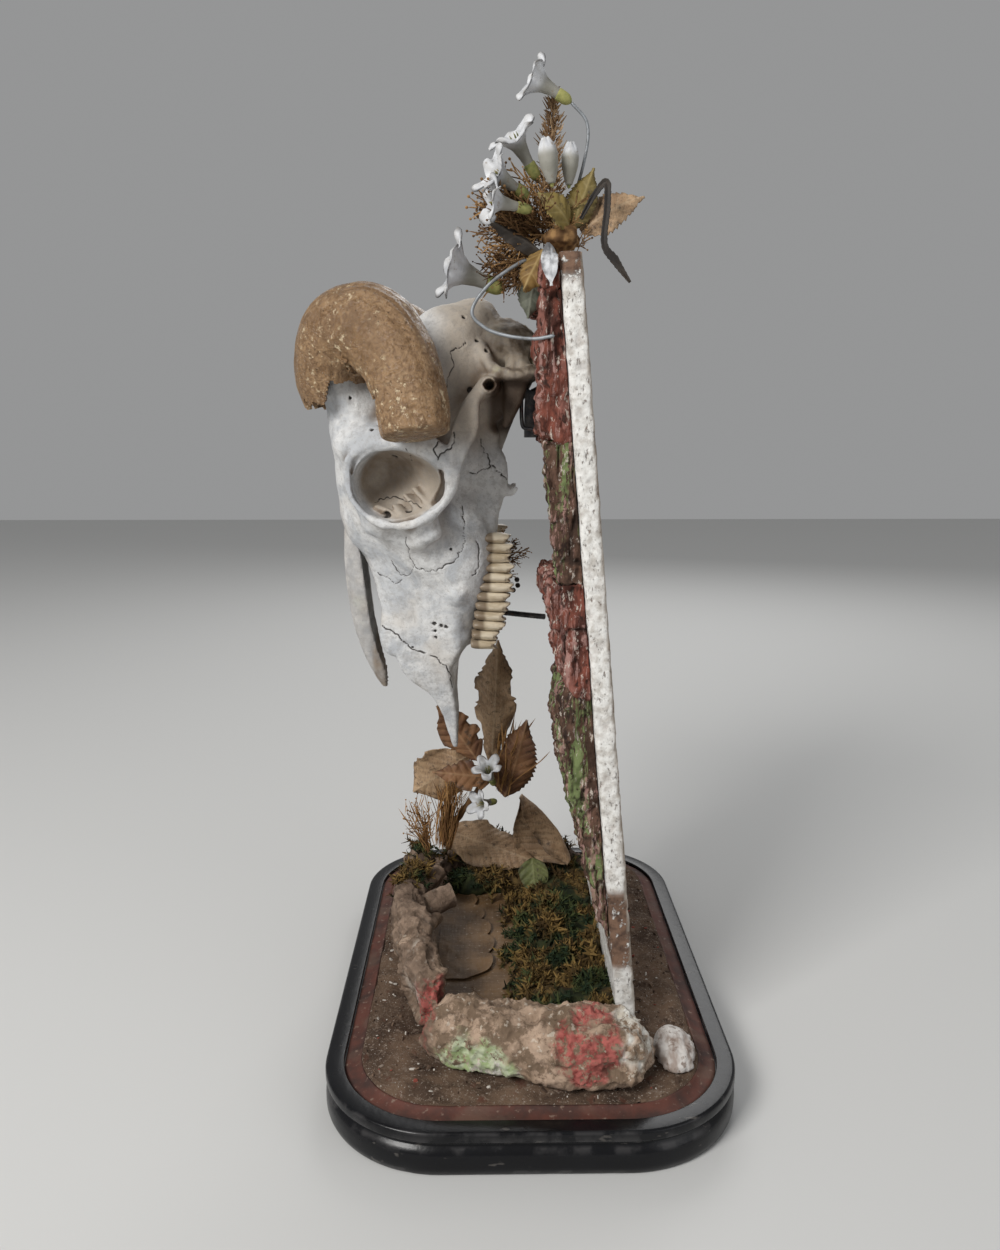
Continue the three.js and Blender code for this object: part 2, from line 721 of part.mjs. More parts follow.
// ---------------------------------------------------------------- bunch at the board's head
const BUNCH_Y = -62;
const knot = ball([13, BUNCH_Y, 407], [8, 9, 6.5], 0, 10, 8);
bunch(
  [
    ["top_knot", knot, brownLeaf],
    [
      "top_leaf_olive",
      leaf([16, -66, 411], [3, -72, 423], 17, { normal: [0.3, -1, 0.5], bow: 3 }),
      oliveLeaf,
    ],
    ["top_leaf_upright", leaf([18, -60, 411], [27, -62, 436], 14, { cup: 2 }), oliveLeaf],
    [
      "top_leaf_broad",
      leaf([25, -54, 411], [50, -58, 425], 19, { normal: [0.1, -0.8, 0.6], bow: 3 }),
      tanLeaf,
    ],
    [
      "top_leaf_hanging",
      bar(
        [
          [21, -70, 410, 0.6, 1.6],
          [30, -74, 429, 0.6, 2.6],
          [32, -75, 418, 0.6, 2.6],
          [31, -75, 403, 0.6, 3],
          [36, -74, 396, 0.6, 2.4],
          [43, -73, 389.5, 0.6, 1],
        ],
        { sides: 6, steps: 12, tip: 0.1 },
      ),
      darkLeaf,
    ],
    [
      "top_leaf_yellow",
      leaf([5, -66, 402], [-4, -72, 384], 14, { normal: [-0.3, -1, 0.3], cup: 2 }),
      oliveLeaf,
    ],
    [
      "top_leaf_dark",
      leaf([4, -56, 403], [-18, -58, 414], 11, { normal: [0.4, -1, 0.4], cup: 2 }),
      darkLeaf,
    ],
    ["top_leaf_grey", leaf([2, -52, 396], [-1, -50, 374], 14, { cup: 1.5 }), greenLeaf],
    [
      "top_plume",
      bar([[8, -56, 412, 3, 3], [8.5, -55, 436, 6, 5.5], [9.5, -54, 466, 2, 2]], { sides: 7, steps: 5 }),
      dryGrass,
    ],
    ["top_spray_left", spray([6, -60, 410], [-0.85, 0.1, 0.45], 32, 0.75, 10), dryGrass],
    ["top_spray_low", spray([3, -52, 398], [-0.95, 0.2, -0.15], 24, 0.6, 6), dryGrass],
    ["flower_high", flower([15.5, -62, 464.5], [-1, -64, 473.5], 10), petal],
    [
      "flower_high_stem",
      round(
        [[16.6, -62, 464], [24, -62, 455], [23, -62, 440], [15.5, -60, 414]],
        0.7,
        { sides: 5, steps: 8 },
      ),
      greyWire,
    ],
    ["flower_upper", flower([2, -58, 434], [-10, -64, 452], 10.5), petal],
    ["flower_middle", flower([-3, -68, 424], [-19, -76, 433], 10), petal],
    ["flower_low", flower([-2, -74, 417], [-20, -80, 420], 9), petal],
    ["flower_bud_front", flower([8, -73, 428], [5, -75, 446], 4.5), petal],
    ["flower_bud_back", flower([16, -66, 429], [16.5, -68, 446], 4), petal],
    ["flower_side", flower([-14, -52, 387], [-38, -58, 396], 14.5), petal],
    ["petal_hanging", leaf([6, -84, 402], [7.5, -86, 384], 9), petal],
    [
      "flower_side_wire",
      round(
        [
          [4, -60, 400], [-6, -66, 396], [-20, -68, 386], [-27, -68, 375],
          [-21, -69, 368], [-12, -72, 364.5], [0, -79, 362.5], [9.5, -82, 363.6],
        ],
        0.8,
        { sides: 6, steps: 16 },
      ),
      greyWire,
    ],
  ],
  [board, upperBlock, topStrip],
);

// ---------------------------------------------------------------- bunch under the nose
bunch(
  [
    [
      "low_stalk",
      round([[-46, 62, 60], [-40, 50, 84], [-24, 42, 110]], 2.2, { sides: 6, steps: 5 }),
      brownLeaf,
    ],
    ["low_leaf_strip", leaf([-18, 40, 122], [-14, 30, 203], 20, { bow: 4, cup: 2 }), tanLeaf],
    ["low_leaf_tip", leaf([-26, 36, 128], [-50, 30, 164], 24, { bow: -2, cup: 3 }), brownLeaf],
    ["low_leaf_triangle", leaf([-30, 52, 126], [-66, 48, 104], 34, { fullness: 1.3 }), tanLeaf],
    [
      "low_leaf_brown",
      leaf([-17, 34, 118], [-53, 28, 124], 18, { normal: [0, -1, 0.4], bow: 3 }),
      brownLeaf,
    ],
    ["low_leaf_red", leaf([-10, 38, 104], [3, 32, 154], 28, { bow: 3, cup: 2 }), brownLeaf],
    ["low_flower_upper", flower([-17, 30, 116], [-21, 20, 131], 8), petal],
    ["low_flower_lower", flower([-16, 32, 104], [-27, 22, 106], 8), petal],
    ["low_grass_tuft", spray([-47, 44, 72], [0.1, 0, 1], 42, 0.24, 8), dryGrass],
    ["low_grass_stalks", spray([-58, 50, 64], [-0.25, 0, 1], 40, 0.22, 6), dryGrass],
    [
      "low_leaf_large",
      leaf([-52, 88, 62], [10, 74, 46], 26, { normal: [0, -0.7, 0.7], bow: 2, cup: 2 }),
      tanLeaf,
    ],
    ["low_leaf_folded", leaf([34, 80, 50], [8, 88, 84], 30, { normal: [-0.3, -1, 0.2], cup: -5 }), tanLeaf],
    ["low_leaf_green", leaf([6, 66, 50], [8, 60, 36], 14, { normal: [0, -1, 0.3] }), greenLeaf],
  ],
  [leftWall, backWall, mossBank, board],
);

export default group;
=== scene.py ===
# %% [markdown]
# # A mounted ram's skull
# A lesson in building one weathered object: a ram's skull that hangs nose down in front of a
# relief board, over a black moulded plinth with a small pond, moss, dried leaves and cloth
# flowers. The CAD model is loaded first as a fixed frame. It has every piece in its real place,
# so the pieces made here only have to look like bone, horn, paper, moss and cloth.

import math
from contextlib import contextmanager

import bpy
import numpy as np
import openvdb
from mathutils import Matrix, Vector
from mathutils.bvhtree import BVHTree


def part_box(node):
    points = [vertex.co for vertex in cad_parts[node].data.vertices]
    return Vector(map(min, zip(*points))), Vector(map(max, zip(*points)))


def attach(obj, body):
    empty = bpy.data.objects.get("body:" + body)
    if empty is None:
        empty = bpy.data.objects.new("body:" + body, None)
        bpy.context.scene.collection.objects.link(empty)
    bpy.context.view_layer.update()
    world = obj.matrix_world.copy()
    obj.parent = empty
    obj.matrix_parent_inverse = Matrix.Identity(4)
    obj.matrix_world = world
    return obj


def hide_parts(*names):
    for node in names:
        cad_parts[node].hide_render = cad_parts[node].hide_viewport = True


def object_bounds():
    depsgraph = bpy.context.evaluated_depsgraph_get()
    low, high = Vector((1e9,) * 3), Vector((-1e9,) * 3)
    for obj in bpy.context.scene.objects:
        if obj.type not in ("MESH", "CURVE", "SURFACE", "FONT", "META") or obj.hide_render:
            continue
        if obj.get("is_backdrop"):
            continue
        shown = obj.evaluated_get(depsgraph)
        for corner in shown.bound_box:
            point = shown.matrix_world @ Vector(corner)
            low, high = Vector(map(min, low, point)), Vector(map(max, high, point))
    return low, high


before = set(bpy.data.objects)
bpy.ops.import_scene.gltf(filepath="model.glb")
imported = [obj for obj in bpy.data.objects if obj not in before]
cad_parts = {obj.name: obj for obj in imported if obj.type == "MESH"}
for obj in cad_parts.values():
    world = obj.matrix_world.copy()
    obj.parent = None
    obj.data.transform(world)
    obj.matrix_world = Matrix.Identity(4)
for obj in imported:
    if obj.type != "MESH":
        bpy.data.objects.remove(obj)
MM = 0.001
cad_low, cad_high = (list(corner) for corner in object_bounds())
print("CAD box", [round(v, 3) for v in cad_low], [round(v, 3) for v in cad_high])

# %% [markdown]
# ## Small helpers
# Every piece is finished the same way: its modifiers are applied, its place goes into its mesh,
# and it rides on the one body of this still model. The helpers are kept short, so that each
# step below reads as the moves that a modeller would make by hand.


# %% Helpers for objects
def deselect():
    if bpy.context.object and bpy.context.object.mode == "EDIT":
        bpy.ops.object.mode_set(mode="OBJECT")
    bpy.ops.object.select_all(action="DESELECT")


def pick(*objs):
    deselect()
    for obj in objs:
        obj.select_set(True)
    bpy.context.view_layer.objects.active = objs[-1]
    return objs[-1]


def settle(obj):
    """Puts the object's place, turn and size into its mesh."""
    pick(obj)
    bpy.ops.object.transform_apply(location=True, rotation=True, scale=True)
    return obj


@contextmanager
def editing(obj):
    """Edit mode with everything selected, for a few operators."""
    pick(obj)
    bpy.ops.object.mode_set(mode="EDIT")
    bpy.ops.mesh.select_all(action="SELECT")
    yield
    bpy.ops.object.mode_set(mode="OBJECT")


def shape(obj, kind, **settings):
    """Adds a modifier with these settings and applies it."""
    pick(obj)
    modifier = obj.modifiers.new(kind.title(), kind)
    for key, value in settings.items():
        setattr(modifier, key, value)
    bpy.ops.object.modifier_apply(modifier=modifier.name)
    return obj


def joined(objs):
    if len(objs) > 1:
        pick(*objs)
        bpy.ops.object.join()
    return objs[-1]


def smooth(obj, degrees=None):
    pick(obj)
    if degrees is None:
        bpy.ops.object.shade_smooth()
    else:
        bpy.ops.object.shade_smooth_by_angle(angle=math.radians(degrees))
    return obj


def finished(obj, name, material, nodes=()):
    """Names a finished piece, gives it its material and hangs it on the body."""
    obj.name = obj.data.name = name
    obj.data.materials.clear()
    obj.data.materials.append(material)
    if nodes:
        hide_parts(*nodes)
    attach(obj, "root")
    print(name, len(obj.data.polygons), "faces")
    return obj


# %% Helpers for vertices
def points(obj):
    co = np.empty(len(obj.data.vertices) * 3, np.float32)
    obj.data.vertices.foreach_get("co", co)
    return co.reshape(-1, 3).astype(float)


def move_points(obj, co):
    obj.data.vertices.foreach_set("co", np.asarray(co, np.float32).ravel())
    obj.data.update()


def normals(obj):
    out = np.empty(len(obj.data.vertices) * 3, np.float32)
    obj.data.vertex_normals.foreach_get("vector", out)
    return out.reshape(-1, 3).astype(float)


def paint(obj, name, values):
    """Stores one number per vertex, for a material to read by name."""
    layer = obj.data.attributes.get(name) or obj.data.attributes.new(name, "FLOAT", "POINT")
    layer.data.foreach_set("value", np.asarray(values, np.float32))


def new_object(name, co, faces):
    mesh = bpy.data.meshes.new(name)
    mesh.from_pydata(co.tolist(), [], faces)
    obj = bpy.data.objects.new(name, mesh)
    bpy.context.scene.collection.objects.link(obj)
    return obj


def columns(*values):
    """Rows of x, y, z from three lists of numbers."""
    return np.stack(values, axis=1)


def mm(rows):
    """Rows given in millimetres, in metres."""
    return [tuple(n * MM for n in row) for row in rows]


LATTICE = np.random.default_rng(7).uniform(-1, 1, (4, 32, 32, 32)).astype(np.float32)


def cloud(co, size, seed=0):
    """Smooth random values from -1 to 1 with lumps about `size` metres across."""
    p = np.asarray(co) / size + 11.3 * (seed + 1)
    cell = np.floor(p).astype(int)
    t = p - cell
    t = t * t * t * (t * (6 * t - 15) + 10)
    table = LATTICE[seed % 4]
    total = 0.0
    for corner in range(8):
        step = np.array([corner & 1, corner >> 1 & 1, corner >> 2 & 1])
        at = (cell + step) % 32
        share = np.prod(np.where(step, t, 1 - t), axis=-1)
        total = total + share * table[at[..., 0], at[..., 1], at[..., 2]]
    return total


def rough(co, size, seed=0, layers=3):
    """Several layers of cloud, each half the size and half the height of the one before."""
    return sum(cloud(co, size / 2**k, seed + k) / 2**k for k in range(layers))


def ramp(value, low, high):
    t = np.clip((value - low) / (high - low), 0, 1)
    return t * t * (3 - 2 * t)


# %% [markdown]
# ## Camera and light
# The camera stands a little above the skull and looks slightly down. A wide soft light from the
# left and front does most of the work, a weaker one fills from the right, and a pale floor
# carries the shadow.


# %% Camera
EYE = Vector((-0.021, -0.5354, 0.325))
LOOK_DOWN = math.radians(11.28)
TURN_RIGHT = math.radians(0.81)
bpy.ops.object.camera_add(
    location=EYE, rotation=(math.radians(90) - LOOK_DOWN, 0, -TURN_RIGHT)
)
camera = bpy.context.object
camera.name = "Camera"
camera.data.lens = 28.8
camera.data.sensor_width = 36
camera.data.clip_start = 0.01
bpy.context.scene.camera = camera


# %% Lights and floor
def soft_light(name, place, target, size, power, colour):
    bpy.ops.object.light_add(type="AREA", location=place)
    lamp = bpy.context.object
    lamp.name = name
    lamp.rotation_euler = (Vector(target) - Vector(place)).to_track_quat("-Z", "Y").to_euler()
    lamp.data.shape = "RECTANGLE"
    lamp.data.size = lamp.data.size_y = size
    lamp.data.energy = power
    lamp.data.color = colour


SKULL_MIDDLE = (-0.04, 0, 0.28)
soft_light("Key", (-0.9, -1.1, 1.15), SKULL_MIDDLE, 0.6, 24, (1, 0.985, 0.96))
soft_light("Fill", (1.1, -0.9, 0.7), SKULL_MIDDLE, 1.1, 3.0, (0.97, 0.98, 1))
soft_light("Rim", (0.3, 1.3, 1.1), SKULL_MIDDLE, 0.9, 7, (1, 1, 1))

world = bpy.data.worlds.new("World")
bpy.context.scene.world = world
world.use_nodes = True
world.node_tree.nodes["Background"].inputs["Color"].default_value = (0.75, 0.755, 0.76, 1)
world.node_tree.nodes["Background"].inputs["Strength"].default_value = 0.40
bpy.context.scene.view_settings.view_transform = "Standard"

deselect()
bpy.ops.mesh.primitive_plane_add(size=6, location=(0, 0, 0))
floor = bpy.context.object
floor.name = "Floor"
floor_finish = bpy.data.materials.new("Floor_pale")
floor_finish.use_nodes = True
floor_shader = floor_finish.node_tree.nodes["Principled BSDF"]
floor_shader.inputs["Base Color"].default_value = (0.62, 0.62, 0.61, 1)
floor_shader.inputs["Roughness"].default_value = 0.85
floor.data.materials.append(floor_finish)
floor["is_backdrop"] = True

# %% [markdown]
# ## Helpers for finishes
# All the materials are built from the same few moves: a noise, a mask cut from it, a mix of two
# colours and a bump. Patterns lie on Object coordinates, which are metres here, so a noise of
# scale 500 has lumps about two millimetres across.


# %% Node helpers
class Finish:
    """A material and the moves that build it up."""

    def __init__(self, name, roughness=0.75, metallic=0.0, specular=0.4):
        self.material = bpy.data.materials.new(name)
        self.material.use_nodes = True
        self.tree = self.material.node_tree
        self.shader = self.tree.nodes["Principled BSDF"]
        self.shader.inputs["Roughness"].default_value = roughness
        self.shader.inputs["Metallic"].default_value = metallic
        self.shader.inputs["Specular IOR Level"].default_value = specular
        self.place = self.node("ShaderNodeTexCoord").outputs["Object"]
        self.height = self.colour = None

    def node(self, kind, **settings):
        made = self.tree.nodes.new(kind)
        for key, value in settings.items():
            setattr(made, key, value)
        return made

    def feed(self, socket, value):
        if isinstance(value, bpy.types.NodeSocket):
            self.tree.links.new(value, socket)
        elif isinstance(value, tuple) and len(value) == 3 and socket.type == "RGBA":
            socket.default_value = (*value, 1)
        else:
            socket.default_value = value

    def stretched(self, x=1, y=1, z=1, turn=(0, 0, 0)):
        made = self.node("ShaderNodeMapping")
        self.feed(made.inputs["Vector"], self.place)
        made.inputs["Scale"].default_value = (x, y, z)
        made.inputs["Rotation"].default_value = turn
        return made.outputs["Vector"]

    def noise(self, scale, detail=3.0, place=None, rough=0.55, twist=0.0):
        made = self.node("ShaderNodeTexNoise")
        self.feed(made.inputs["Vector"], place or self.place)
        for key, value in zip(
            ("Scale", "Detail", "Roughness", "Distortion"), (scale, detail, rough, twist)
        ):
            made.inputs[key].default_value = value
        return made.outputs["Fac"]

    def cells(self, scale):
        made = self.node("ShaderNodeTexVoronoi")
        self.feed(made.inputs["Vector"], self.place)
        made.inputs["Scale"].default_value = scale
        return made.outputs["Distance"]

    def stored(self, name):
        return self.node("ShaderNodeAttribute", attribute_name=name).outputs["Fac"]

    def mask(self, value, low, high, top=1.0):
        made = self.node("ShaderNodeMapRange", interpolation_type="SMOOTHSTEP")
        for key, number in (("Value", value), ("From Min", low), ("From Max", high), ("To Max", top)):
            self.feed(made.inputs[key], number)
        return made.outputs["Result"]

    def math(self, operation, a, b=0.0):
        made = self.node("ShaderNodeMath", operation=operation)
        self.feed(made.inputs[0], a)
        self.feed(made.inputs[1], b)
        return made.outputs[0]

    def spots(self, low, high, *noise, top=1.0, **settings):
        """A mask cut from a noise between two of its levels."""
        return self.mask(self.noise(*noise, **settings), low, high, top)

    def times(self, a, b):
        return self.math("MULTIPLY", a, b)

    def mix(self, share, a, b):
        made = self.node("ShaderNodeMix", data_type="RGBA", blend_type="MIX")
        self.feed(made.inputs[0], share)
        self.feed(made.inputs[6], a)
        self.feed(made.inputs[7], b)
        return made.outputs[2]

    def bump(self, height, depth, strength=1.0):
        """Adds relief of about `depth` metres on top of what is there."""
        made = self.node("ShaderNodeBump")
        self.feed(made.inputs["Height"], height)
        made.inputs["Distance"].default_value = depth
        made.inputs["Strength"].default_value = strength
        if self.height is not None:
            self.feed(made.inputs["Normal"], self.height)
        self.height = made.outputs["Normal"]

    def base(self, share, a, b):
        """Starts the colour as a mix of two."""
        self.colour = self.mix(share, a, b)

    def coat(self, share, tint):
        """Lays another colour over what is there, where share is 1."""
        self.colour = self.mix(share, self.colour, tint)

    def ground(self, a, b, *levels_and_noise, **settings):
        """Starts the colour as one tint with clouds of another."""
        self.base(self.spots(*levels_and_noise, **settings), a, b)

    def fleck(self, tint, *levels_and_noise, **settings):
        """Lays spots of another tint over what is there."""
        self.coat(self.spots(*levels_and_noise, **settings), tint)

    def done(self, roughness=None):
        self.feed(self.shader.inputs["Base Color"], self.colour)
        if roughness is not None:
            self.feed(self.shader.inputs["Roughness"], roughness)
        if self.height is not None:
            self.feed(self.shader.inputs["Normal"], self.height)
        return self.material


# %% [markdown]
# ### Sheets and tubes
# A leaf, a petal, a horn and a paper roll are all one flat grid, bent. The grid is added, its
# points are moved to where a formula puts them, and the seam of a rolled one is merged.


# %% Bent sheets and tubes
def sheet(across, along, place):
    """A grid whose points (u, v from 0 to 1) go where place(u, v) says."""
    deselect()
    bpy.ops.mesh.primitive_grid_add(x_subdivisions=across, y_subdivisions=along, size=1)
    obj = bpy.context.object
    flat = points(obj) + 0.5
    move_points(obj, place(flat[:, 0], flat[:, 1]))
    return obj


def weld(obj, gap=0.02 * MM):
    with editing(obj):
        bpy.ops.mesh.remove_doubles(threshold=gap)
        bpy.ops.mesh.normals_make_consistent(inside=False)
    return obj


def curve_through(stations, per_gap=6):
    """A smooth curve through stations of any numbers, as rows."""
    s = np.array(stations, float)
    if len(s) < 3:
        t = np.linspace(0, 1, per_gap + 1)[:, None]
        return s[0] + (s[-1] - s[0]) * t
    ends = np.vstack([2 * s[0] - s[1], s, 2 * s[-1] - s[-2]])
    rows = []
    for i in range(1, len(ends) - 2):
        a, b, c, d = ends[i - 1 : i + 3]
        for t in np.arange(per_gap) / per_gap:
            rows.append(
                0.5
                * (
                    2 * b
                    + (c - a) * t
                    + (2 * a - 5 * b + 4 * c - d) * t**2
                    + (3 * b - a - 3 * c + d) * t**3
                )
            )
    rows.append(s[-1])
    return np.array(rows)


def along_curve(path, v):
    """Point, direction and the other columns of a smooth path at each v from 0 to 1."""
    rows = curve_through(path, 12)
    lengths = np.r_[0, np.cumsum(np.linalg.norm(np.diff(rows[:, :3], axis=0), axis=1))]
    at = v * lengths[-1]
    cols = [np.interp(at, lengths, rows[:, k]) for k in range(rows.shape[1])]
    small = lengths[-1] * 0.01
    ahead, behind = np.clip(at + small, 0, lengths[-1]), np.clip(at - small, 0, lengths[-1])
    step = [
        np.interp(ahead, lengths, rows[:, k]) - np.interp(behind, lengths, rows[:, k]) for k in range(3)
    ]
    direction = np.stack(step, axis=1)
    direction /= np.linalg.norm(direction, axis=1)[:, None]
    return np.stack(cols[:3], axis=1), direction, cols[3:]


def tube(path, sides=10, steps=40, wide=(0, 1, 0), surface=None, ends=0.06):
    """A closed tube along a path of x, y, z, half width, half thickness, in metres."""

    def place(u, v):
        middle, direction, (half, thick) = along_curve(path, v)
        across = np.array(wide, float) - direction * (direction @ np.array(wide, float))[:, None]
        across /= np.linalg.norm(across, axis=1)[:, None]
        through = np.cross(direction, across)
        near_end = np.clip(1 - np.minimum(v, 1 - v) / ends, 0, 1) if ends else np.zeros_like(v)
        shrink = np.sqrt(np.clip(1 - near_end**2, 0, 1))
        angle = 2 * np.pi * u
        swell = shrink * (surface(u, v) if surface else 1.0)
        return (
            middle
            + across * (np.cos(angle) * half * swell)[:, None]
            + through * (np.sin(angle) * thick * swell)[:, None]
        )

    return weld(sheet(sides, steps, place))
# %% [markdown]
# ## The skull as a field of distances
# Bone has hardly a straight line in it: the brow runs into the socket, the socket into the
# cheek and the cheek into the tooth row. Joining primitives and smoothing the seams rounds off
# the thin edges that make a skull look like one. Here each mass is a formula for the distance to
# its surface, on a fine grid of points. Two masses join with a fillet of a chosen width, and a
# hollow is carved with a rim as sharp or as soft as wanted. OpenVDB turns the grid into a mesh.
# The skull is symmetric, so only the near half is worked out and then mirrored.

# %% The grid
VOXEL = 0.9 * MM
GRID_LOW = np.array([-112, 0, 145]) * MM
GRID_HIGH = np.array([17, 63, 397]) * MM


def grid_points():
    axes = [np.arange(low, high, VOXEL) for low, high in zip(GRID_LOW, GRID_HIGH)]
    return np.stack(np.meshgrid(*axes, indexing="ij"), axis=-1).astype(np.float32)


# Only positive Y is worked out; the near side of the skull, which looks along -Y, is its mirror.
GRID = grid_points() / MM
X, Y, Z = GRID[..., 0], GRID[..., 1], GRID[..., 2]
FAR = 50.0
print("grid", GRID.shape[:3])

# %% [markdown]
# Each mass only matters near its own place, so a formula is worked out inside a box round it and
# leaves the rest of the grid alone. That keeps a hundred masses down to a few seconds.


# %% Distances to simple masses, in millimetres
def patch(low, high, margin=14):
    """The slices of the grid within `margin` of a box."""
    low = np.floor((np.array(low) - margin - GRID_LOW / MM) / (VOXEL / MM)).astype(int)
    high = np.ceil((np.array(high) + margin - GRID_LOW / MM) / (VOXEL / MM)).astype(int)
    return tuple(slice(max(a, 0), max(b, 1)) for a, b in zip(low, high))


def egg(centre, radii, tilt=0, yaw=0):
    """An ellipsoid, tilted about Y and then turned about Z, in degrees."""
    turn = Matrix.Rotation(math.radians(yaw), 3, "Z") @ Matrix.Rotation(math.radians(tilt), 3, "Y")
    reach = max(radii)
    here = patch(np.array(centre) - reach, np.array(centre) + reach)
    q = ((GRID[here] - np.array(centre, np.float32)) @ np.array(turn, np.float32)) / np.array(radii)
    near = np.sqrt((q**2).sum(-1)) + 1e-6
    slope = np.sqrt(((q / np.array(radii)) ** 2).sum(-1)) + 1e-6
    return here, near * (near - 1) / slope


def strap(stations, wide=(1, 0, 0), per_gap=5):
    """A bar of rounded section along a curve. A station is x, y, z, half width, half thickness;
    the width lies along `wide`."""
    rows = curve_through(stations, per_gap)
    reach = rows[:, 3:].max()
    here = patch(rows[:, :3].min(0) - reach, rows[:, :3].max(0) + reach)
    p = GRID[here]
    found = np.full(p.shape[:3], FAR, np.float32)
    for a, b in zip(rows[:-1], rows[1:]):
        along = b[:3] - a[:3]
        length = np.linalg.norm(along) + 1e-6
        along = along / length
        across = np.array(wide, float) - along * np.dot(wide, along)
        across /= np.linalg.norm(across)
        through = np.cross(along, across)
        d = p - a[:3].astype(np.float32)
        t = np.clip(d @ along.astype(np.float32), 0, length)
        half, thick = (a[k] + (b[k] - a[k]) * t / length for k in (3, 4))
        corner = np.minimum(half, thick)
        d = d - t[..., None] * along.astype(np.float32)
        u = np.maximum(np.abs(d @ across.astype(np.float32)) - (half - corner), 0)
        v = np.maximum(np.abs(d @ through.astype(np.float32)) - (thick - corner), 0)
        w = d @ along.astype(np.float32)
        found = np.minimum(found, np.sqrt(u**2 + v**2 + w**2) - corner)
    return here, found


# %% Joining and carving
def meet(a, b, fillet):
    h = np.clip(0.5 + 0.5 * (b - a) / fillet, 0, 1)
    return b + (a - b) * h - fillet * h * (1 - h)


def add(field, mass, fillet=4.0):
    here, distance = mass
    field[here] = meet(field[here], distance.astype(np.float32), fillet)


def carve(field, mass, fillet=1.5):
    here, distance = mass
    field[here] = -meet(-field[here], distance.astype(np.float32), fillet)


def lump(centre, radii, fillet, tilt=0):
    """Adds an egg of bone."""
    add(bone, egg(centre, radii, tilt), fillet)


def bar(stations, fillet, wide=(1, 0, 0), per_gap=5):
    """Adds a strap of bone."""
    add(bone, strap(stations, wide, per_gap), fillet)


def hollow(stations, fillet):
    """Carves a channel."""
    carve(bone, strap(stations), fillet)


# %% [markdown]
# ### Face, frontal bones and braincase
# The muzzle and brow are a loft: at each height up the face the section has a roof of one width
# and a palate of another, and the heights between are filled smoothly. The skull hangs nose
# down, so "up the face" is along Z, the forehead is at the left and the teeth at the right.

# %% Loft of the face
# height, roof edge X, palate edge X, half width at the roof, half width at the palate
FACE = [
    (200, -66, -40, 9, 14), (206, -71, -35.5, 11.5, 17.5), (212, -75, -26.5, 13, 22),
    (221, -80, -24.5, 14.5, 25), (232, -82.5, -22, 15, 28.5), (246, -84, -19.8, 17, 31.5),
    (256, -86, -18, 20, 33), (264, -93, -16.5, 22, 34), (272, -96, -16, 27, 34),
    (281, -97.5, -19, 33, 31), (300, -98.5, -30, 39, 26), (322, -99.5, -30, 40, 28),
    (342, -98, -30, 38, 32), (356, -88, -34, 30, 32), (368, -66, -38, 16, 20),
]


def face_loft(squareness=3.0):
    rows = curve_through(FACE, 8)
    low, high = rows[0][0], rows[-1][0]
    here = patch((-100, 0, low), (-15, 42, high))
    x, y, z = X[here], Y[here], Z[here]
    at = np.clip(z, low, high)
    roof, palate, roof_half, palate_half = (np.interp(at, rows[:, 0], rows[:, k]) for k in (1, 2, 3, 4))
    share = (x - roof) / (palate - roof)
    half = roof_half + (palate_half - roof_half) * np.clip(share, 0, 1) ** 0.8
    depth = (palate - roof) / 2
    q = (np.abs(y) / half) ** squareness + np.abs(2 * share - 1) ** squareness
    distance = (q ** (1 / squareness) - 1) * np.minimum(half, depth)
    past = np.maximum(low - z, z - high)
    return here, np.maximum(distance, past)


bone = np.full(GRID.shape[:3], FAR, np.float32)
add(bone, face_loft(), 1)
lump((-40, 0, 346), (36, 34, 34), 6)  # braincase
lump((-38, 10, 366), (22, 19, 19), 5)  # parietal swelling
lump((-27, 0, 377), (13, 18, 12), 6)  # poll
lump((-8, 0, 364), (18, 28, 13), 5, 24)  # occiput
lump((-85, 26, 324), (13, 15, 24), 7, -8)  # horn core
lump((-91, 30, 344), (11, 12, 15), 5, -12)
print("masses placed")

# %% [markdown]
# ### Sockets, cheek and arches
# The eye socket of a sheep is a cup on the side of the face with a thin, slightly rough rim that
# is closed behind by a bar. Its cup is added first, as a mass, and hollowed later. The room
# behind the arch is carved before the arch goes on, because the arch bridges it.

# %% Cheek and cup
lump((-66, 34, 298), (24, 17, 23), 5)  # cup of the socket
lump((-50, 38, 306), (14, 13, 14), 5)
# Brow shelf, from the horn's base to the socket's upper edge.
bar([(-88, 36, 316, 6, 7), (-76, 41, 318, 7, 7), (-62, 43, 320, 7, 6)], 8, (0, 0, 1))
bar([(-76, 38, 277, 5, 4), (-62, 38, 270, 7, 5), (-48, 42, 276, 7, 4)], 12, (0, 0, 1))
lump((-48, 22, 266), (28, 13, 18), 8, 30)  # cheek
lump((-31, 22, 254), (10, 8.5, 22), 9, 8)  # swell over the tooth roots
lump((-35.5, 26.5, 240), (3.6, 5.4, 4.4), 4)  # facial tuber
carve(bone, egg((-27, 40, 300), (15, 19, 21), -18), 2)
carve(bone, egg((-36, 48, 318), (12, 14, 22), -16), 3)
carve(bone, egg((-28, 47, 330), (10, 11, 13), -20), 3)

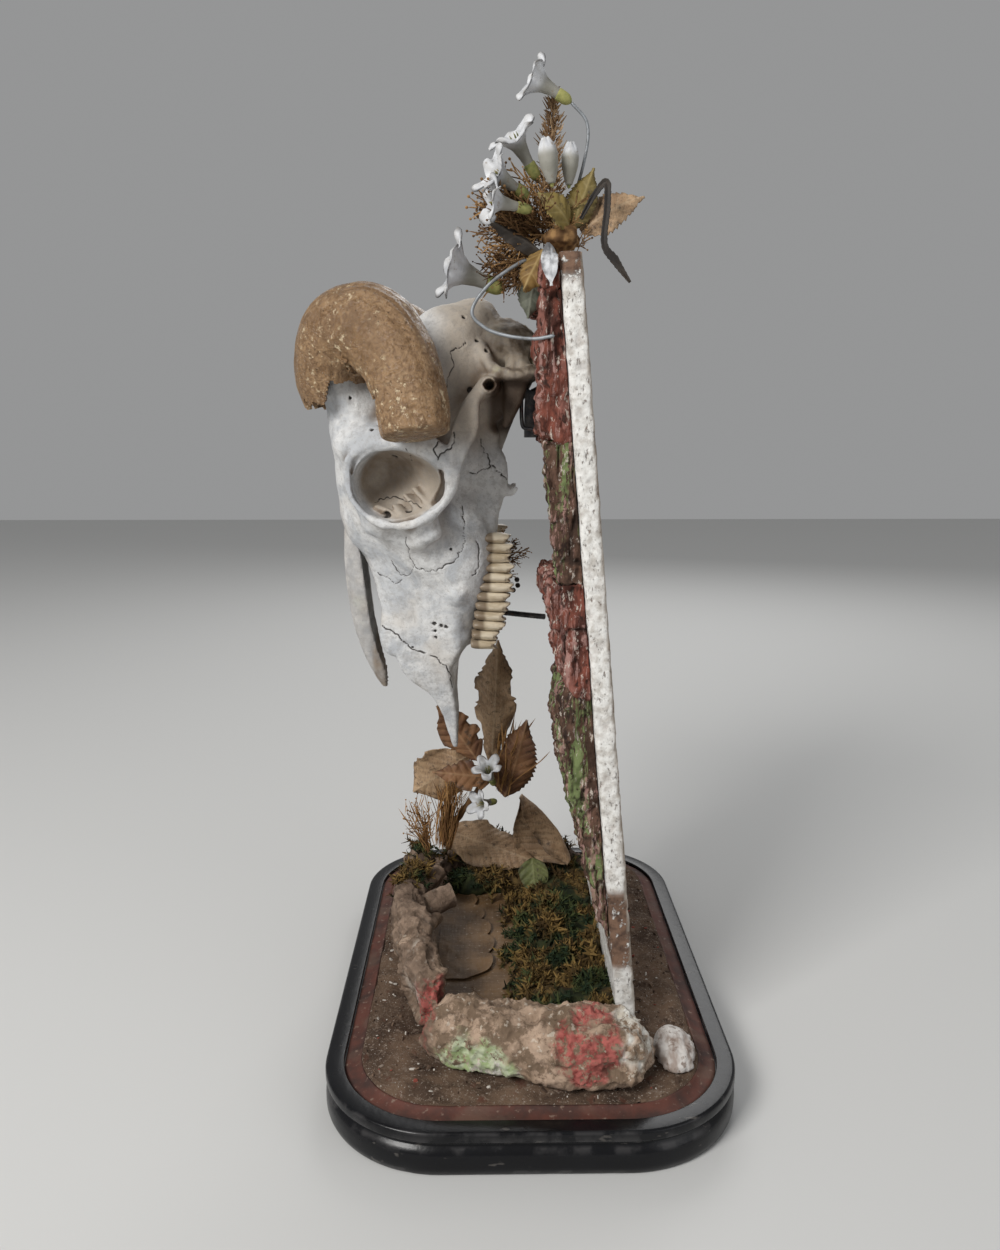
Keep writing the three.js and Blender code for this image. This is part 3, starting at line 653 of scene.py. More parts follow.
# %% Rims and arches
RIM = [
    (-88.5, 45.0, 303, 1.2, 2.0), (-85.5, 45.6, 311, 1.4, 2.0), (-74, 47.5, 316.6, 2.2, 2.2),
    (-60, 50, 316.2, 2.6, 2.6), (-46, 52.3, 312.6, 2.6, 2.4), (-37, 53.8, 304, 2.6, 2.2),
    (-38.5, 53.4, 292.5, 2.4, 2.2), (-47.5, 52, 283.2, 1.5, 2.0), (-58, 49.6, 277.8, 1.2, 2.0),
    (-69, 47.4, 277.0, 1.2, 2.0), (-79, 46, 282.8, 1.2, 2.0), (-86.5, 45, 292.5, 1.2, 2.0),
    (-88.5, 45.0, 303, 1.2, 2.0),
]
bar(RIM, 2.2, (0, 1, 0))
# Cheek arch: its lower edge leaves the cheek below the socket, and it runs back to the ear.
ARCH = [
    (-66, 34, 268, 3, 3), (-56, 42.5, 274.5, 2.2, 3), (-46, 50.4, 284.5, 2.4, 2.6),
    (-38.8, 54, 297, 3.2, 2), (-35.5, 53.5, 309, 4.2, 1.8), (-33, 52.5, 317, 5, 1.7),
    (-31, 50, 323, 6.4, 1.7), (-29.5, 47, 330, 5.4, 2), (-27, 43, 337, 3.8, 2.4),
    (-21, 36, 343.5, 4, 3.5),
]
bar(ARCH, 3.4)
# Bar behind the socket, from the brow to the arch, and the temple ridge that goes on from it.
bar([(-66, 41, 330, 7, 5), (-55, 48, 321, 6, 3), (-42, 52.5, 309, 5.5, 2.2)], 4, (0.6, 0, 0.8))
bar([(-64, 37, 334, 4, 3), (-50, 33, 344, 3, 2), (-36, 31, 352, 2, 2)], 7, (0, 1, 0))
print("socket and arches placed")

# %% [markdown]
# ### Base of the skull and snout

# %% Base of the skull
lump((1.5, 11, 356), (8.5, 8.5, 9), 3)  # condyle
bar([(-24, 0, 284, 6, 5), (-20, 0, 308, 6, 7), (-13, 0, 332, 8, 10), (-4, 0, 350, 8, 12)], 4)
lump((-15, 19, 337), (6, 7, 10), 3, 12)  # ear capsule
LEDGE = [
    (-23, 27, 362, 3, 3), (-17, 31, 352, 4, 3), (-8, 31.5, 349, 5, 3), (2, 27, 351, 5, 3),
    (8, 18, 354, 4, 3),
]
bar(LEDGE, 4, (0, 1, 0))  # overhanging crest behind the ear
bar(
    [(-5, 25, 354, 6, 5), (-6.5, 26, 343, 5.5, 3), (-8.5, 26, 333, 3.5, 2), (-11, 25.5, 325.5, 1.3, 1.1)], 3
)
# Ear tube.
bar([(-19, 25, 344, 5, 5), (-19, 38, 344, 4.3, 4.3), (-19.2, 41.8, 344, 4.1, 4.1)], 2.5, per_gap=4)
# Wing of the palate behind the tooth row, and its hooked tip.
WING = [
    (-27, 17, 266, 10, 4), (-26, 16, 283, 12.2, 2.6), (-24, 15, 294, 13.5, 2.1),
    (-23.5, 15, 303, 13.7, 2), (-26, 15.5, 312, 12, 2.4), (-26, 17, 321, 11.5, 4),
]
bar(WING, 5)
bar([(-13, 15.5, 293, 3, 1.3), (-8, 16, 291.2, 2, 1), (-5.2, 17, 293.6, 0.9, 0.8)], 1.6, (0, 0, 1))
lump((-38, 14, 312), (17, 13, 20), 6, -10)  # side wall of the braincase above the wing

# %% Snout
PREMAXILLA = [
    (-60, 16.5, 232, 15, 1.6), (-57, 17.4, 221, 22, 2.4), (-53.5, 17.4, 211, 20.5, 2.8),
    (-52.5, 16, 200, 14.4, 2.8), (-48.5, 14.2, 191.5, 10.2, 2.5), (-44.6, 12.6, 184, 6.7, 2.3),
    (-41, 10, 172, 4.6, 2.1), (-39.3, 7.6, 160, 2.9, 1.8), (-38.3, 6, 151.8, 1.5, 1.4),
]
bar(PREMAXILLA, 5, (0.98, 0.19, 0))
bar([(-33, 5, 216, 3, 16), (-37.5, 5, 202, 2, 12), (-39, 4, 186, 1.6, 8), (-38.6, 3, 170, 1.4, 5)], 3)
print("base and snout placed")

# %% [markdown]
# ### Hollows
# Carving comes last. A small fillet leaves a crisp edge, as at the socket, and a large one gives
# the soft dish of the tear pit.

# %% Carve the hollows
socket = np.full(GRID.shape[:3], FAR, np.float32)
add(socket, egg((-67, 52, 296.5), (19, 30, 17.2), 0, -9), 1)
add(socket, egg((-54, 60, 297.5), (15, 22, 13), 20, -9), 9)
add(socket, egg((-71, 34, 299), (11, 13, 12)), 6)
bone = -meet(-bone, socket, 0.7)
# Three slanting ridges on the socket's floor, and the lip of the tear opening.
bar([(-60, 33, 291, 1, 3), (-54, 39, 285, 1.1, 3), (-50, 45, 281.5, 0.8, 2)], 2, (0, 0, 1))
bar([(-55, 34, 294, 1, 3), (-49.5, 40, 288.5, 1.1, 3), (-45.5, 46, 285.5, 0.8, 2)], 2, (0, 0, 1))
bar([(-65, 36, 286, 1, 3), (-61, 41, 281.5, 1.2, 2.5)], 2, (0, 0, 1))
bar([(-75, 36, 285, 1.2, 2), (-70, 39, 283.5, 1.4, 2), (-66, 39.5, 281.5, 1.2, 2)], 2, (0, 0, 1))
# Nose opening, under the nasal bones and between the free edges of the snout.
hollow(
    [
        (-60, 0, 186, 16, 9), (-70, 0, 204, 16, 10.5), (-76, 0, 226, 15, 11.5), (-79, 0, 246, 13, 11),
        (-80, 0, 258, 8, 6),
    ],
    1.5,
)
hollow([(-48, 0, 158, 6, 5), (-51, 0, 172, 9, 7), (-56, 0, 190, 12, 10)], 1.2)
# Vault of the palate between the tooth rows, and the opening behind it.
hollow([(-19, 0, 208, 7, 11), (-15, 0, 232, 9, 15), (-12, 0, 262, 10, 17), (-10, 0, 286, 11, 12)], 3)
hollow([(-16, 0, 284, 9, 10), (-18, 0, 300, 8, 9)], 3)
hollow([(-38, 4.5, 194, 8, 2.2), (-39, 4, 176, 8, 1.6)], 1)  # slots in the front palate
carve(bone, egg((10, 0, 352), (12, 8, 8)), 2)  # mouth of the braincase
carve(bone, egg((-68, 43, 256), (9, 8, 17), 12, 24), 8)  # tear pit
carve(bone, egg((-19.3, 46, 344), (2.9, 16, 2.9)), 0.4)  # ear hole
print("hollows carved")

# %% [markdown]
# ### From the grid to a mesh
# The near half is mirrored in the grid itself, so the two halves join without a seam.


# %% Mesh the field
def mesh_from(field, name):
    whole = np.concatenate([field[:, :0:-1], field], axis=1)
    volume = openvdb.FloatGrid(FAR * MM)
    volume.copyFromArray((whole * MM).astype(np.float32))
    corner_y = -(field.shape[1] - 1) * VOXEL
    co, triangles, quads = volume.convertToPolygons(0.0, 0.0)
    co = co * VOXEL + np.array([GRID_LOW[0], corner_y, GRID_LOW[2]])
    obj = new_object(name, co, quads.tolist() + triangles.tolist())
    with editing(obj):
        bpy.ops.mesh.normals_make_consistent(inside=False)
    return obj


skull = mesh_from(bone, "skull")
print("skull", len(skull.data.vertices), "points")

# %% [markdown]
# ### Nasal bones
# Two thin arched tongues of bone roof the nose. They are free of the jaw along their lower half,
# where a dark slit shows. A tube minus a slightly smaller tube leaves the arched shell.

# %% Nasal bones
# centre X, Y, height, half depth, half width of the arch
NASAL = [
    (-86.2, 0, 269, 10, 14.5), (-86.8, 0, 250, 9.4, 13), (-85, 0, 226, 8.7, 11.6),
    (-80.8, 0, 205, 7.3, 8.8), (-77.2, 0, 193, 5.4, 5.6), (-76.2, 0, 186.5, 3, 2.8),
]
HOLLOW = [(x + 3.4, y, z - 2, 0.84 * a, 0.78 * b) for x, y, z, a, b in NASAL]
nasals = np.full(GRID.shape[:3], FAR, np.float32)
add(nasals, strap(NASAL), 1)
here, inner = strap(HOLLOW)
nasals[here] = np.maximum(nasals[here], -inner)
slit = X - np.interp(Z, [186, 196, 207, 222, 246, 262, 272], [-74.5, -76, -79.5, -82.8, -85.4, -87, -88])
nasals = np.maximum(nasals, slit)
middle = 0.25 - Y
nasals = np.maximum(nasals, middle)
nasal_bones = mesh_from(nasals, "nasal_bones")
print("nasal bones", len(nasal_bones.data.vertices), "points")

# %% [markdown]
# ### Sutures and pores
# The plates of a skull meet in fine wandering seams. Each seam is drawn as a few points on the
# side of the skull, roughened into a wavy line, and dropped onto the bone by a ray. The mesh is
# made finer only along these lines, and then pressed in, which costs far fewer faces than a
# fine mesh all over.

# %% Lighten the mesh
for made, share in ((skull, 0.46), (nasal_bones, 0.6)):
    shape(made, "DECIMATE", ratio=share)
    print(made.name, len(made.data.polygons), "faces")

# %% Seams of the bones, as X and height in millimetres
SEAMS = {
    "snout": [(-76, 221.5), (-68, 216), (-61, 210), (-54, 207.5), (-47, 205), (-41, 197), (-38, 187)],
    "cheek": [
        (-32.3, 285), (-31.4, 276), (-33, 263), (-37.5, 258), (-47.6, 253), (-55.7, 255), (-60, 263),
        (-60, 271),
    ],
    "tear": [(-70, 257), (-67, 251), (-62, 248.5), (-58.5, 252), (-57, 256)],
    "nose": [(-78, 249), (-73, 247), (-69, 244), (-64.5, 247)],
    "crown": [(-30.6, 365), (-38, 360.5), (-37, 354), (-39, 349), (-40.5, 342), (-42, 335)],
    "arch": [(-36, 322), (-36.5, 316), (-41, 312.5), (-44, 309)],
    "brow": [(-59, 314), (-56.5, 311), (-58, 308.5)],
    "bar": [(-43.5, 318), (-45.5, 313.5), (-43, 310)],
    "wing_upper": [(-24, 318), (-20.5, 311), (-17.5, 304.5), (-13, 300.5), (-10, 298)],
    "wing_side": [(-17.5, 304.5), (-22, 302), (-29, 302)],
    "socket": [(-77, 287), (-70, 289.5), (-63, 287.5), (-56, 288), (-53, 285)],
    "rear": [(-26, 268), (-24.5, 259), (-27, 250)],
}
STEP = 0.45 * MM


def on_side(bvh, x, z, side):
    """The point on the bone that a ray across the skull meets first, on side -1 or +1."""
    hit = bvh.ray_cast(Vector((x, side * 0.1, z)), Vector((0, -side, 0)))
    return hit[0]


def seam_line(bvh, corners, side, seed):
    rows = curve_through([(x * MM, z * MM) for x, z in corners], 8)
    lengths = np.r_[0, np.cumsum(np.linalg.norm(np.diff(rows, axis=0), axis=1))]
    along = np.arange(0, lengths[-1], STEP)
    x, z = (np.interp(along, lengths, rows[:, k]) for k in (0, 1))
    spot = columns(along, np.full_like(along, seed * 0.07), 0 * along)
    sway = 0.8 * MM * cloud(spot, 1.7 * MM, seed) + 0.9 * MM * cloud(spot, 5 * MM, seed + 1)
    tangent = np.gradient(columns(x, z), axis=0)
    tangent /= np.linalg.norm(tangent, axis=1)[:, None]
    x, z = x - tangent[:, 1] * sway, z + tangent[:, 0] * sway
    found = [on_side(bvh, a, b, side) for a, b in zip(x, z)]
    return [p for p in found if p is not None]


deselect()
bone_tree = BVHTree.FromObject(skull, bpy.context.evaluated_depsgraph_get())
seam_points = []
for number, corners in enumerate(SEAMS.values()):
    for side in (-1, 1):
        seam_points += seam_line(bone_tree, corners, side, 2 * number + (side > 0))
seam_points = np.array(seam_points)
print(len(seam_points), "points along the seams")


# %% Nearest seam for each point of the bone
def distance_to(co, marks, reach):
    """Distance from each point to the nearest mark, or `reach` where none is that close."""
    cell = reach
    table = {}
    for mark in marks:
        key = tuple(np.floor(mark / cell).astype(int))
        table.setdefault(key, []).append(mark)
    found = np.full(len(co), reach)
    keys = np.floor(co / cell).astype(int)
    order = np.lexsort(keys.T)
    edges = np.flatnonzero(np.any(np.diff(keys[order], axis=0), axis=1)) + 1
    steps = [(i, j, k) for i in (-1, 0, 1) for j in (-1, 0, 1) for k in (-1, 0, 1)]
    for group in np.split(order, edges):
        key = keys[group[0]]
        near = [m for s in steps for m in table.get(tuple(key + s), ())]
        if near:
            gap = np.linalg.norm(co[group][:, None] - np.array(near)[None], axis=2).min(1)
            found[group] = np.minimum(found[group], gap)
    return found


def refine_near(obj, marks, reach, cuts):
    """Cuts the faces finer where they lie within reach of the marks."""
    gap = distance_to(points(obj), marks, reach)
    close = gap < reach * 0.999
    pick(obj)
    mesh = obj.data
    corners = np.empty(len(mesh.loops), int)
    mesh.loops.foreach_get("vertex_index", corners)
    starts = np.empty(len(mesh.polygons), int)
    mesh.polygons.foreach_get("loop_start", starts)
    chosen = np.logical_or.reduceat(close[corners], starts)
    bpy.ops.object.mode_set(mode="EDIT")
    bpy.ops.mesh.select_all(action="DESELECT")
    bpy.ops.object.mode_set(mode="OBJECT")
    mesh.polygons.foreach_set("select", chosen)
    bpy.ops.object.mode_set(mode="EDIT")
    bpy.ops.mesh.subdivide(number_cuts=cuts)
    bpy.ops.object.mode_set(mode="OBJECT")


refine_near(skull, seam_points, 1.1 * MM, 2)
print("skull with fine seams:", len(skull.data.polygons), "faces")

# %% [markdown]
# ### Wear on the bone
# Old bone isn't smooth: it is faintly lumpy, pitted on the brow, and rough like coral at the
# back of the head, where the neck held on. These are moves of the points along their normals.

# %% Wear and seams
# Small openings for vessels: X, height and radius, in millimetres.
HOLES = [
    (-75.5, 323, 0.9), (-72.5, 325, 0.7), (-48.2, 223.5, 1.1), (-44.5, 222.5, 1.0),
    (-42, 222, 0.9), (-47.8, 219.5, 0.8), (-47.6, 216, 0.8), (-38.5, 264, 0.7), (-20.2, 361, 1.2),
    (-25, 366, 1.0), (-31.5, 377, 0.9), (-28.5, 342, 1.5), (-66.5, 309.5, 1.4), (-69.5, 282, 1.8),
    (-59, 283.5, 1.5), (-60, 210, 0.6), (-86, 338, 0.8),
]
hole_points = []
for x, z, radius in HOLES:
    for side in (-1, 1):
        hit = on_side(bone_tree, x * MM, z * MM, side)
        if hit is not None:
            hole_points.append((*hit, radius * MM))
refine_near(skull, np.array(hole_points)[:, :3], 2.2 * MM, 2)

co, out = points(skull), normals(skull)
seam = ramp(distance_to(co, seam_points, 1.2 * MM), 0.62 * MM, 0.12 * MM)
seam = seam * (0.62 + 0.38 * ramp(cloud(co, 3.2 * MM, 9) + 0.4 * cloud(co, 9 * MM, 6), -0.25, 0.2))
pit = np.zeros(len(co))
for x, y, z, radius in hole_points:
    gap = np.linalg.norm(co - (x, y, z), axis=1)
    pit = np.maximum(pit, ramp(gap, 1.35 * radius, 0.6 * radius))
wild = ramp(co[:, 0], -0.026, -0.008) * ramp(co[:, 2], 0.343, 0.352)  # the back of the head
brow = ramp(co[:, 2], 0.318, 0.332) * ramp(co[:, 0], -0.072, -0.082)
lumps = 0.45 * MM * rough(co, 14 * MM, 1) + 0.18 * MM * rough(co, 3.5 * MM, 2, 2)
coral = 0.75 * MM * rough(co, 4.5 * MM, 3) * wild + 0.5 * MM * cloud(co, 2.2 * MM, 1) * wild
strands = 0.22 * MM * cloud(co * (1, 1, 0.22), 1.6 * MM, 2) * brow
depth = lumps + coral + strands - 0.5 * MM * seam - 1.6 * MM * pit
move_points(skull, co + out * depth[:, None])


# %% How deep each point sits in a hollow, for the painted shade
def shelter(co, out, field, reach):
    """0 in the open and towards 1 where other bone is near in front of the surface."""
    ahead = (co + out * reach) / MM
    ahead[:, 1] = np.abs(ahead[:, 1])
    at = (ahead - GRID_LOW / MM) / (VOXEL / MM)
    top = np.array(field.shape) - 2
    cell = np.clip(np.floor(at).astype(int), 0, top)
    t = np.clip(at - cell, 0, 1)
    total = 0.0
    for corner in range(8):
        step = np.array([corner & 1, corner >> 1 & 1, corner >> 2 & 1])
        share = np.prod(np.where(step, t, 1 - t), axis=1)
        i, j, k = (cell + step).T
        total = total + share * field[i, j, k]
    return np.clip(1 - total / (reach / MM), 0, 1)


# Painted shade: darker where nearby bone stands in front of the surface and keeps light out, as ambient
# occlusion does.
hollow_shade = 0.5 * shelter(co, out, bone, 5 * MM) + 0.5 * shelter(co, out, bone, 11 * MM)
# Painted shadow in the recess under the overhanging crest behind the ear.
shade_below_ledge = ramp(co[:, 0], -0.024, -0.015) * ramp(co[:, 2], 0.350, 0.344) * ramp(co[:, 2], 0.316, 0.326)
# Dark seams, and painted shade in the small vessel openings.
paint(skull, "seam", np.maximum(seam, pit))
paint(skull, "wild", wild)
paint(skull, "brown", np.clip(shade_below_ledge, 0, 1))
warm = ramp(co[:, 0], -0.058, -0.03) * ramp(co[:, 2], 0.300, 0.330)
# Inside the eye socket the warm coat is painted brownish shade; the braincase's warm beige is its own
# colour.
socket_inside = ramp(np.linalg.norm((co - (-0.062, 0, 0.297)) * (1, 0, 1.25), axis=1), 0.024, 0.020)
warm = np.maximum(warm, socket_inside * ramp(np.abs(co[:, 1]), 0.052, 0.044))
paint(skull, "warm", warm)
# Painted shade deep in the eye socket, darkest towards its upper side under the brow.
socket_shade = socket_inside * (
    0.30 + 0.55 * ramp(co[:, 2] - 0.5 * co[:, 0], 0.318, 0.345)
) * ramp(np.abs(co[:, 1]), 0.052, 0.040)
paint(skull, "hollow_shade", np.clip(np.maximum(hollow_shade, socket_shade), 0, 1))
smooth(skull)

co, out = points(nasal_bones), normals(nasal_bones)
move_points(nasal_bones, co + out * (0.25 * MM * rough(co, 9 * MM, 2))[:, None])
# Painted shade on the nasal bones, darker towards their free edges over the slit.
paint(nasal_bones, "hollow_shade", ramp(co[:, 0], -0.086, -0.078))
paint(nasal_bones, "wild", 0.35 * np.ones(len(co)))
smooth(nasal_bones)
print("skull", len(skull.data.polygons), "faces")

# %% [markdown]
# ### Bleached bone
# Sun and rain left the face a cold white with blue-grey clouds, while the braincase kept a warm
# beige. Seams are dark, the vessel openings and the eye socket hold painted shade, dirt mixed with
# painted shade darkens the hollows, a painted shadow lies under the crest behind the ear, and the
# rough back of the head is grey-brown with a breath of green. The masks come from the numbers
# painted on the mesh above.

# %% Bone
finish = Finish("Bone_bleached", roughness=0.62, specular=0.35)
clouds = finish.spots(0.40, 0.62, 42, 5, twist=0.6, rough=0.62)
speckle = finish.spots(0.58, 0.72, 900, 4)
finish.base(clouds, (0.66, 0.66, 0.655), (0.445, 0.46, 0.48))
finish.fleck((0.78, 0.775, 0.76), 0.54, 0.70, 85, 5, top=0.6)
finish.fleck((0.47, 0.42, 0.36), 0.52, 0.70, 30, 5, top=0.55)
# Warm beige of the braincase, and painted brownish shade inside the eye socket.
finish.coat(finish.mask(finish.stored("warm"), 0, 1, 0.85), (0.40, 0.335, 0.26))
# Dirt mixed with painted shade: dark brown in the hollows, in the eye socket and along the nasal bones'
# free edges.
dirt = finish.times(finish.mask(finish.stored("hollow_shade"), 0.16, 0.72), finish.spots(0.25, 0.6, 60, 4))
finish.coat(finish.times(dirt, 0.85), (0.19, 0.135, 0.09))
wild = finish.mix(finish.spots(0.4, 0.62, 130, 4), (0.37, 0.31, 0.24), (0.15, 0.115, 0.08))
wild = finish.mix(finish.spots(0.55, 0.7, 70, 3, top=0.6), wild, (0.38, 0.37, 0.22))
finish.coat(finish.stored("wild"), wild)
finish.coat(finish.times(speckle, 0.4), (0.22, 0.19, 0.17))
grain = finish.spots(0.47, 0.60, 330, 6, top=0.32, rough=0.75)
finish.coat(grain, (0.27, 0.255, 0.24))
# Near-black brown painted shadow under the crest behind the ear.
finish.coat(finish.mask(finish.stored("brown"), 0.1, 0.9, 0.92), (0.055, 0.032, 0.018))
# Near-black seams, and painted shade in the vessel openings.
finish.coat(finish.mask(finish.stored("seam"), 0.2, 0.65, 0.94), (0.03, 0.024, 0.02))
finish.bump(finish.noise(240, 6, rough=0.68), 0.0009, 0.7)
finish.bump(finish.noise(1500, 3), 0.00016, 0.7)
bone_finish = finish.done()
finished(skull, "skull", bone_finish, ("cranium",))

# The two nasal bones part along the middle.
with editing(nasal_bones):
    bpy.ops.mesh.separate(type="LOOSE")
halves = sorted(bpy.context.selected_objects, key=lambda o: -len(o.data.vertices))[:2]
for half in halves:
    side = "left" if points(half)[:, 1].mean() < 0 else "right"
    finished(half, "nasal_bone_" + side, bone_finish, ("nasal_" + side,))

# %% [markdown]
# ## Cheek teeth
# A sheep's cheek tooth is a pair of tall cream-coloured lobes, ground down at the top. One lobe
# is shaped from a cube and copied down the row, each copy a little different in length.

# %% One lobe, copied along the row
GUM = [(-24.5, 210.5), (-19.6, 246.0), (-16.4, 271.0)]  # X and height of the gum line
LOBES = 12
TOOTH_Y = 24.5
deselect()
bpy.ops.mesh.primitive_cube_add(size=1)
lobe = bpy.context.object
with editing(lobe):
    bpy.ops.mesh.bevel(offset=0.2, segments=3, affect="EDGES")
    bpy.ops.mesh.subdivide(number_cuts=2, smoothness=0.3)
lobe_shape = points(lobe)


def lobe_copy(number, side):
    share = (number + 0.5) / LOBES
    line = np.array(GUM)
    z = line[0, 1] + (line[-1, 1] - line[0, 1]) * share
    x = np.interp(z, line[:, 1], line[:, 0])
    pitch = (line[-1, 1] - line[0, 1]) / LOBES
    crown = 11.8 * np.sin(np.pi * (0.20 + 0.62 * share)) * (1.05, 0.94, 1.1, 0.97)[number % 4]
    p = lobe_shape.copy()
    height = p[:, 0] + 0.5  # 0 at the root and 1 at the worn end
    waist = 0.90 + 0.16 * np.sin(np.pi * np.clip(height, 0, 1)) ** 0.7
    y = p[:, 1] * 8.5 * (1 - 0.22 * height) + 2.2 * np.cos(np.pi * p[:, 2]) * (p[:, 1] > 0)
    wear = 1.3 * np.cos(2 * np.pi * (p[:, 2] + 0.12 * (number % 3))) * (height > 0.85)
    lean = math.radians(8 - 6 * share)
    out = (crown + 5) * height - 5 - wear
    dz = p[:, 2] * pitch * 0.98 * waist
    co = columns(
        x + out * math.cos(lean) - dz * math.sin(lean), side * (TOOTH_Y + y - 2),
        z + dz * math.cos(lean) - out * math.sin(lean) * 0.4,
    )
    co += 0.28 * np.stack([cloud(co * MM, 3 * MM, k + 1) for k in range(3)], axis=1)
    pick(lobe)
    bpy.ops.object.duplicate()
    made = bpy.context.object
    move_points(made, co * MM)
    paint(made, "height", height)
    return made


rows = [joined([lobe_copy(n, side) for n in range(LOBES)]) for side in (-1, 1)]
bpy.data.objects.remove(lobe)

finish = Finish("Tooth_cream", roughness=0.42, specular=0.45)
streaks = finish.spots(0.4, 0.68, 260, 4, finish.stretched(0.35, 1, 1))
finish.base(streaks, (0.64, 0.56, 0.43), (0.42, 0.34, 0.23))
root = finish.mask(finish.stored("height"), 0.42, 0.28)
finish.coat(finish.times(root, 0.8), (0.13, 0.085, 0.05))
worn = finish.mask(finish.stored("height"), 0.93, 0.985)
finish.coat(finish.times(worn, 0.55), (0.20, 0.13, 0.075))
finish.bump(finish.noise(500, 4, finish.stretched(0.3, 1, 1)), 0.0003, 0.6)
tooth_finish = finish.done()
for row in rows:
    weld(row)
    smooth(row)
    side = "left" if points(row)[:, 1].mean() < 0 else "right"
    finished(row, "cheek_teeth_" + side, tooth_finish)

# %% [markdown]
# ## Horns
# A ram's horn is a hollow sheath over a bony core. These two were sawn off short and are split
# and flaking at the base. Each is a rolled sheet along a curve. Growth rings, lengthwise fibres
# and the torn lower edge all move its points.

# %% Horn sheaths
HORN = [
    (-93.5, -26, 328, 17, 14), (-95.8, -31, 350, 18.4, 18), (-89, -39, 367, 19.4, 20),
    (-75, -49, 369.5, 19.4, 20.2), (-62.5, -58, 357, 18.4, 18.4), (-55.5, -65, 338, 17, 17),
    (-53, -69, 319.5, 15.6, 15.6),
]
FAR_CURL = [(0, 0), (0, 0), (2, 3), (4, 4), (7, 6), (9, 7), (9, 7)]  # the far horn curls wider


def torn_edge(co, seed):
    """Height of the sheath's lower edge: high in front of the core, with long flakes before it."""
    flake = 11 * ramp(co[:, 0], -0.0935, -0.099) + 8 * ramp(co[:, 0], -0.081, -0.071)
    torn = 2.4 * rough(co, 8 * MM, seed, 4) + 2.6 * cloud(co * (1, 1, 0.15), 2.8 * MM, seed + 1)
    return (345 - flake + torn) * MM


def horn(stations, side, seed):
    path = [(x * MM, side * abs(y) * MM, z * MM, a * MM, b * MM) for x, y, z, a, b in stations]

    def relief(u, v):
        ring = columns(np.cos(2 * np.pi * u), np.sin(2 * np.pi * u), 9 * v)
        fibres = columns(9 * ring[:, 0], 9 * ring[:, 1], 3.2 * v)
        growth = 0.022 * cloud(ring * (0.6, 0.6, 3.4), 1, seed) + 0.028 * cloud(ring, 0.9, seed + 1)
        cracks = ramp(cloud(fibres, 1, seed + 2), 0.45, 0.8) * ramp(v, 0.6, 0.1)
        end = (1 - np.clip((v - 0.972) / 0.028, 0, 1) ** 3.5) ** 0.3
        return (1 + growth + 0.022 * rough(fibres, 1.2, seed) - 0.07 * cracks) * end

    made = tube(path, 120, 200, surface=relief, ends=0)
    co = points(made)
    below = (co[:, 2] < torn_edge(co, seed)) & (co[:, 0] < -0.071)
    pick(made)
    made.data.polygons.foreach_set("select", [False] * len(made.data.polygons))
    made.data.edges.foreach_set("select", [False] * len(made.data.edges))
    made.data.vertices.foreach_set("select", below)
    bpy.ops.object.mode_set(mode="EDIT")
    bpy.ops.mesh.select_mode(type="VERT")
    bpy.ops.mesh.delete(type="VERT")
    bpy.ops.object.mode_set(mode="OBJECT")
    return made


finish = Finish("Horn_weathered", roughness=0.5, specular=0.45)
fibre = finish.noise(230, 6, twist=1.5, rough=0.65)
finish.base(finish.mask(fibre, 0.34, 0.64), (0.165, 0.092, 0.042), (0.33, 0.205, 0.105))
finish.fleck((0.15, 0.083, 0.038), 0.44, 0.68, 45, 5, top=0.65)
flakes = finish.times(finish.spots(0.56, 0.62, 310, 5, rough=0.72), finish.spots(0.4, 0.56, 60, 2))
finish.coat(finish.times(flakes, 0.85), (0.66, 0.54, 0.36))
pits = finish.mask(finish.cells(420), 0.16, 0.05)
pits = finish.times(pits, finish.spots(0.5, 0.6, 90, 2))
finish.coat(finish.times(pits, 0.75), (0.045, 0.025, 0.014))
finish.bump(fibre, 0.0012, 0.7)
finish.bump(finish.noise(110, 5, rough=0.62), 0.0018, 0.8)
finish.bump(finish.math("SUBTRACT", finish.noise(420, 5, rough=0.7), pits), 0.001, 0.9)
horn_finish = finish.done(finish.spots(0.3, 0.7, 120, 3, top=0.62))
far_horn = [(x + dx, y, z + dz, a, b) for (x, y, z, a, b), (dx, dz) in zip(HORN, FAR_CURL)]
for side, stations, word in ((-1, HORN, "left"), (1, far_horn, "right")):
    made = horn(stations, side, 2 + side)
    shape(made, "SOLIDIFY", thickness=2.2 * MM, offset=-1)
    smooth(made, 50)
    finished(made, "horn_sheath_" + word, horn_finish, ("horn_" + word,))

# %% [markdown]
# ## The plinth
# The base is the stock foot of a glass dome: black polished wood with two mouldings and a groove
# for the glass. Its profile is swept round an oval-cornered outline, as a moulding plane would
# cut it. The CAD box gives the outline, so the sweep fits the CAD solid.

# %% Outline and sweep
_, plinth_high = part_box("base_plinth")
HALF_WIDTH, HALF_LENGTH = plinth_high.x, plinth_high.y
CORNER = 58 * MM


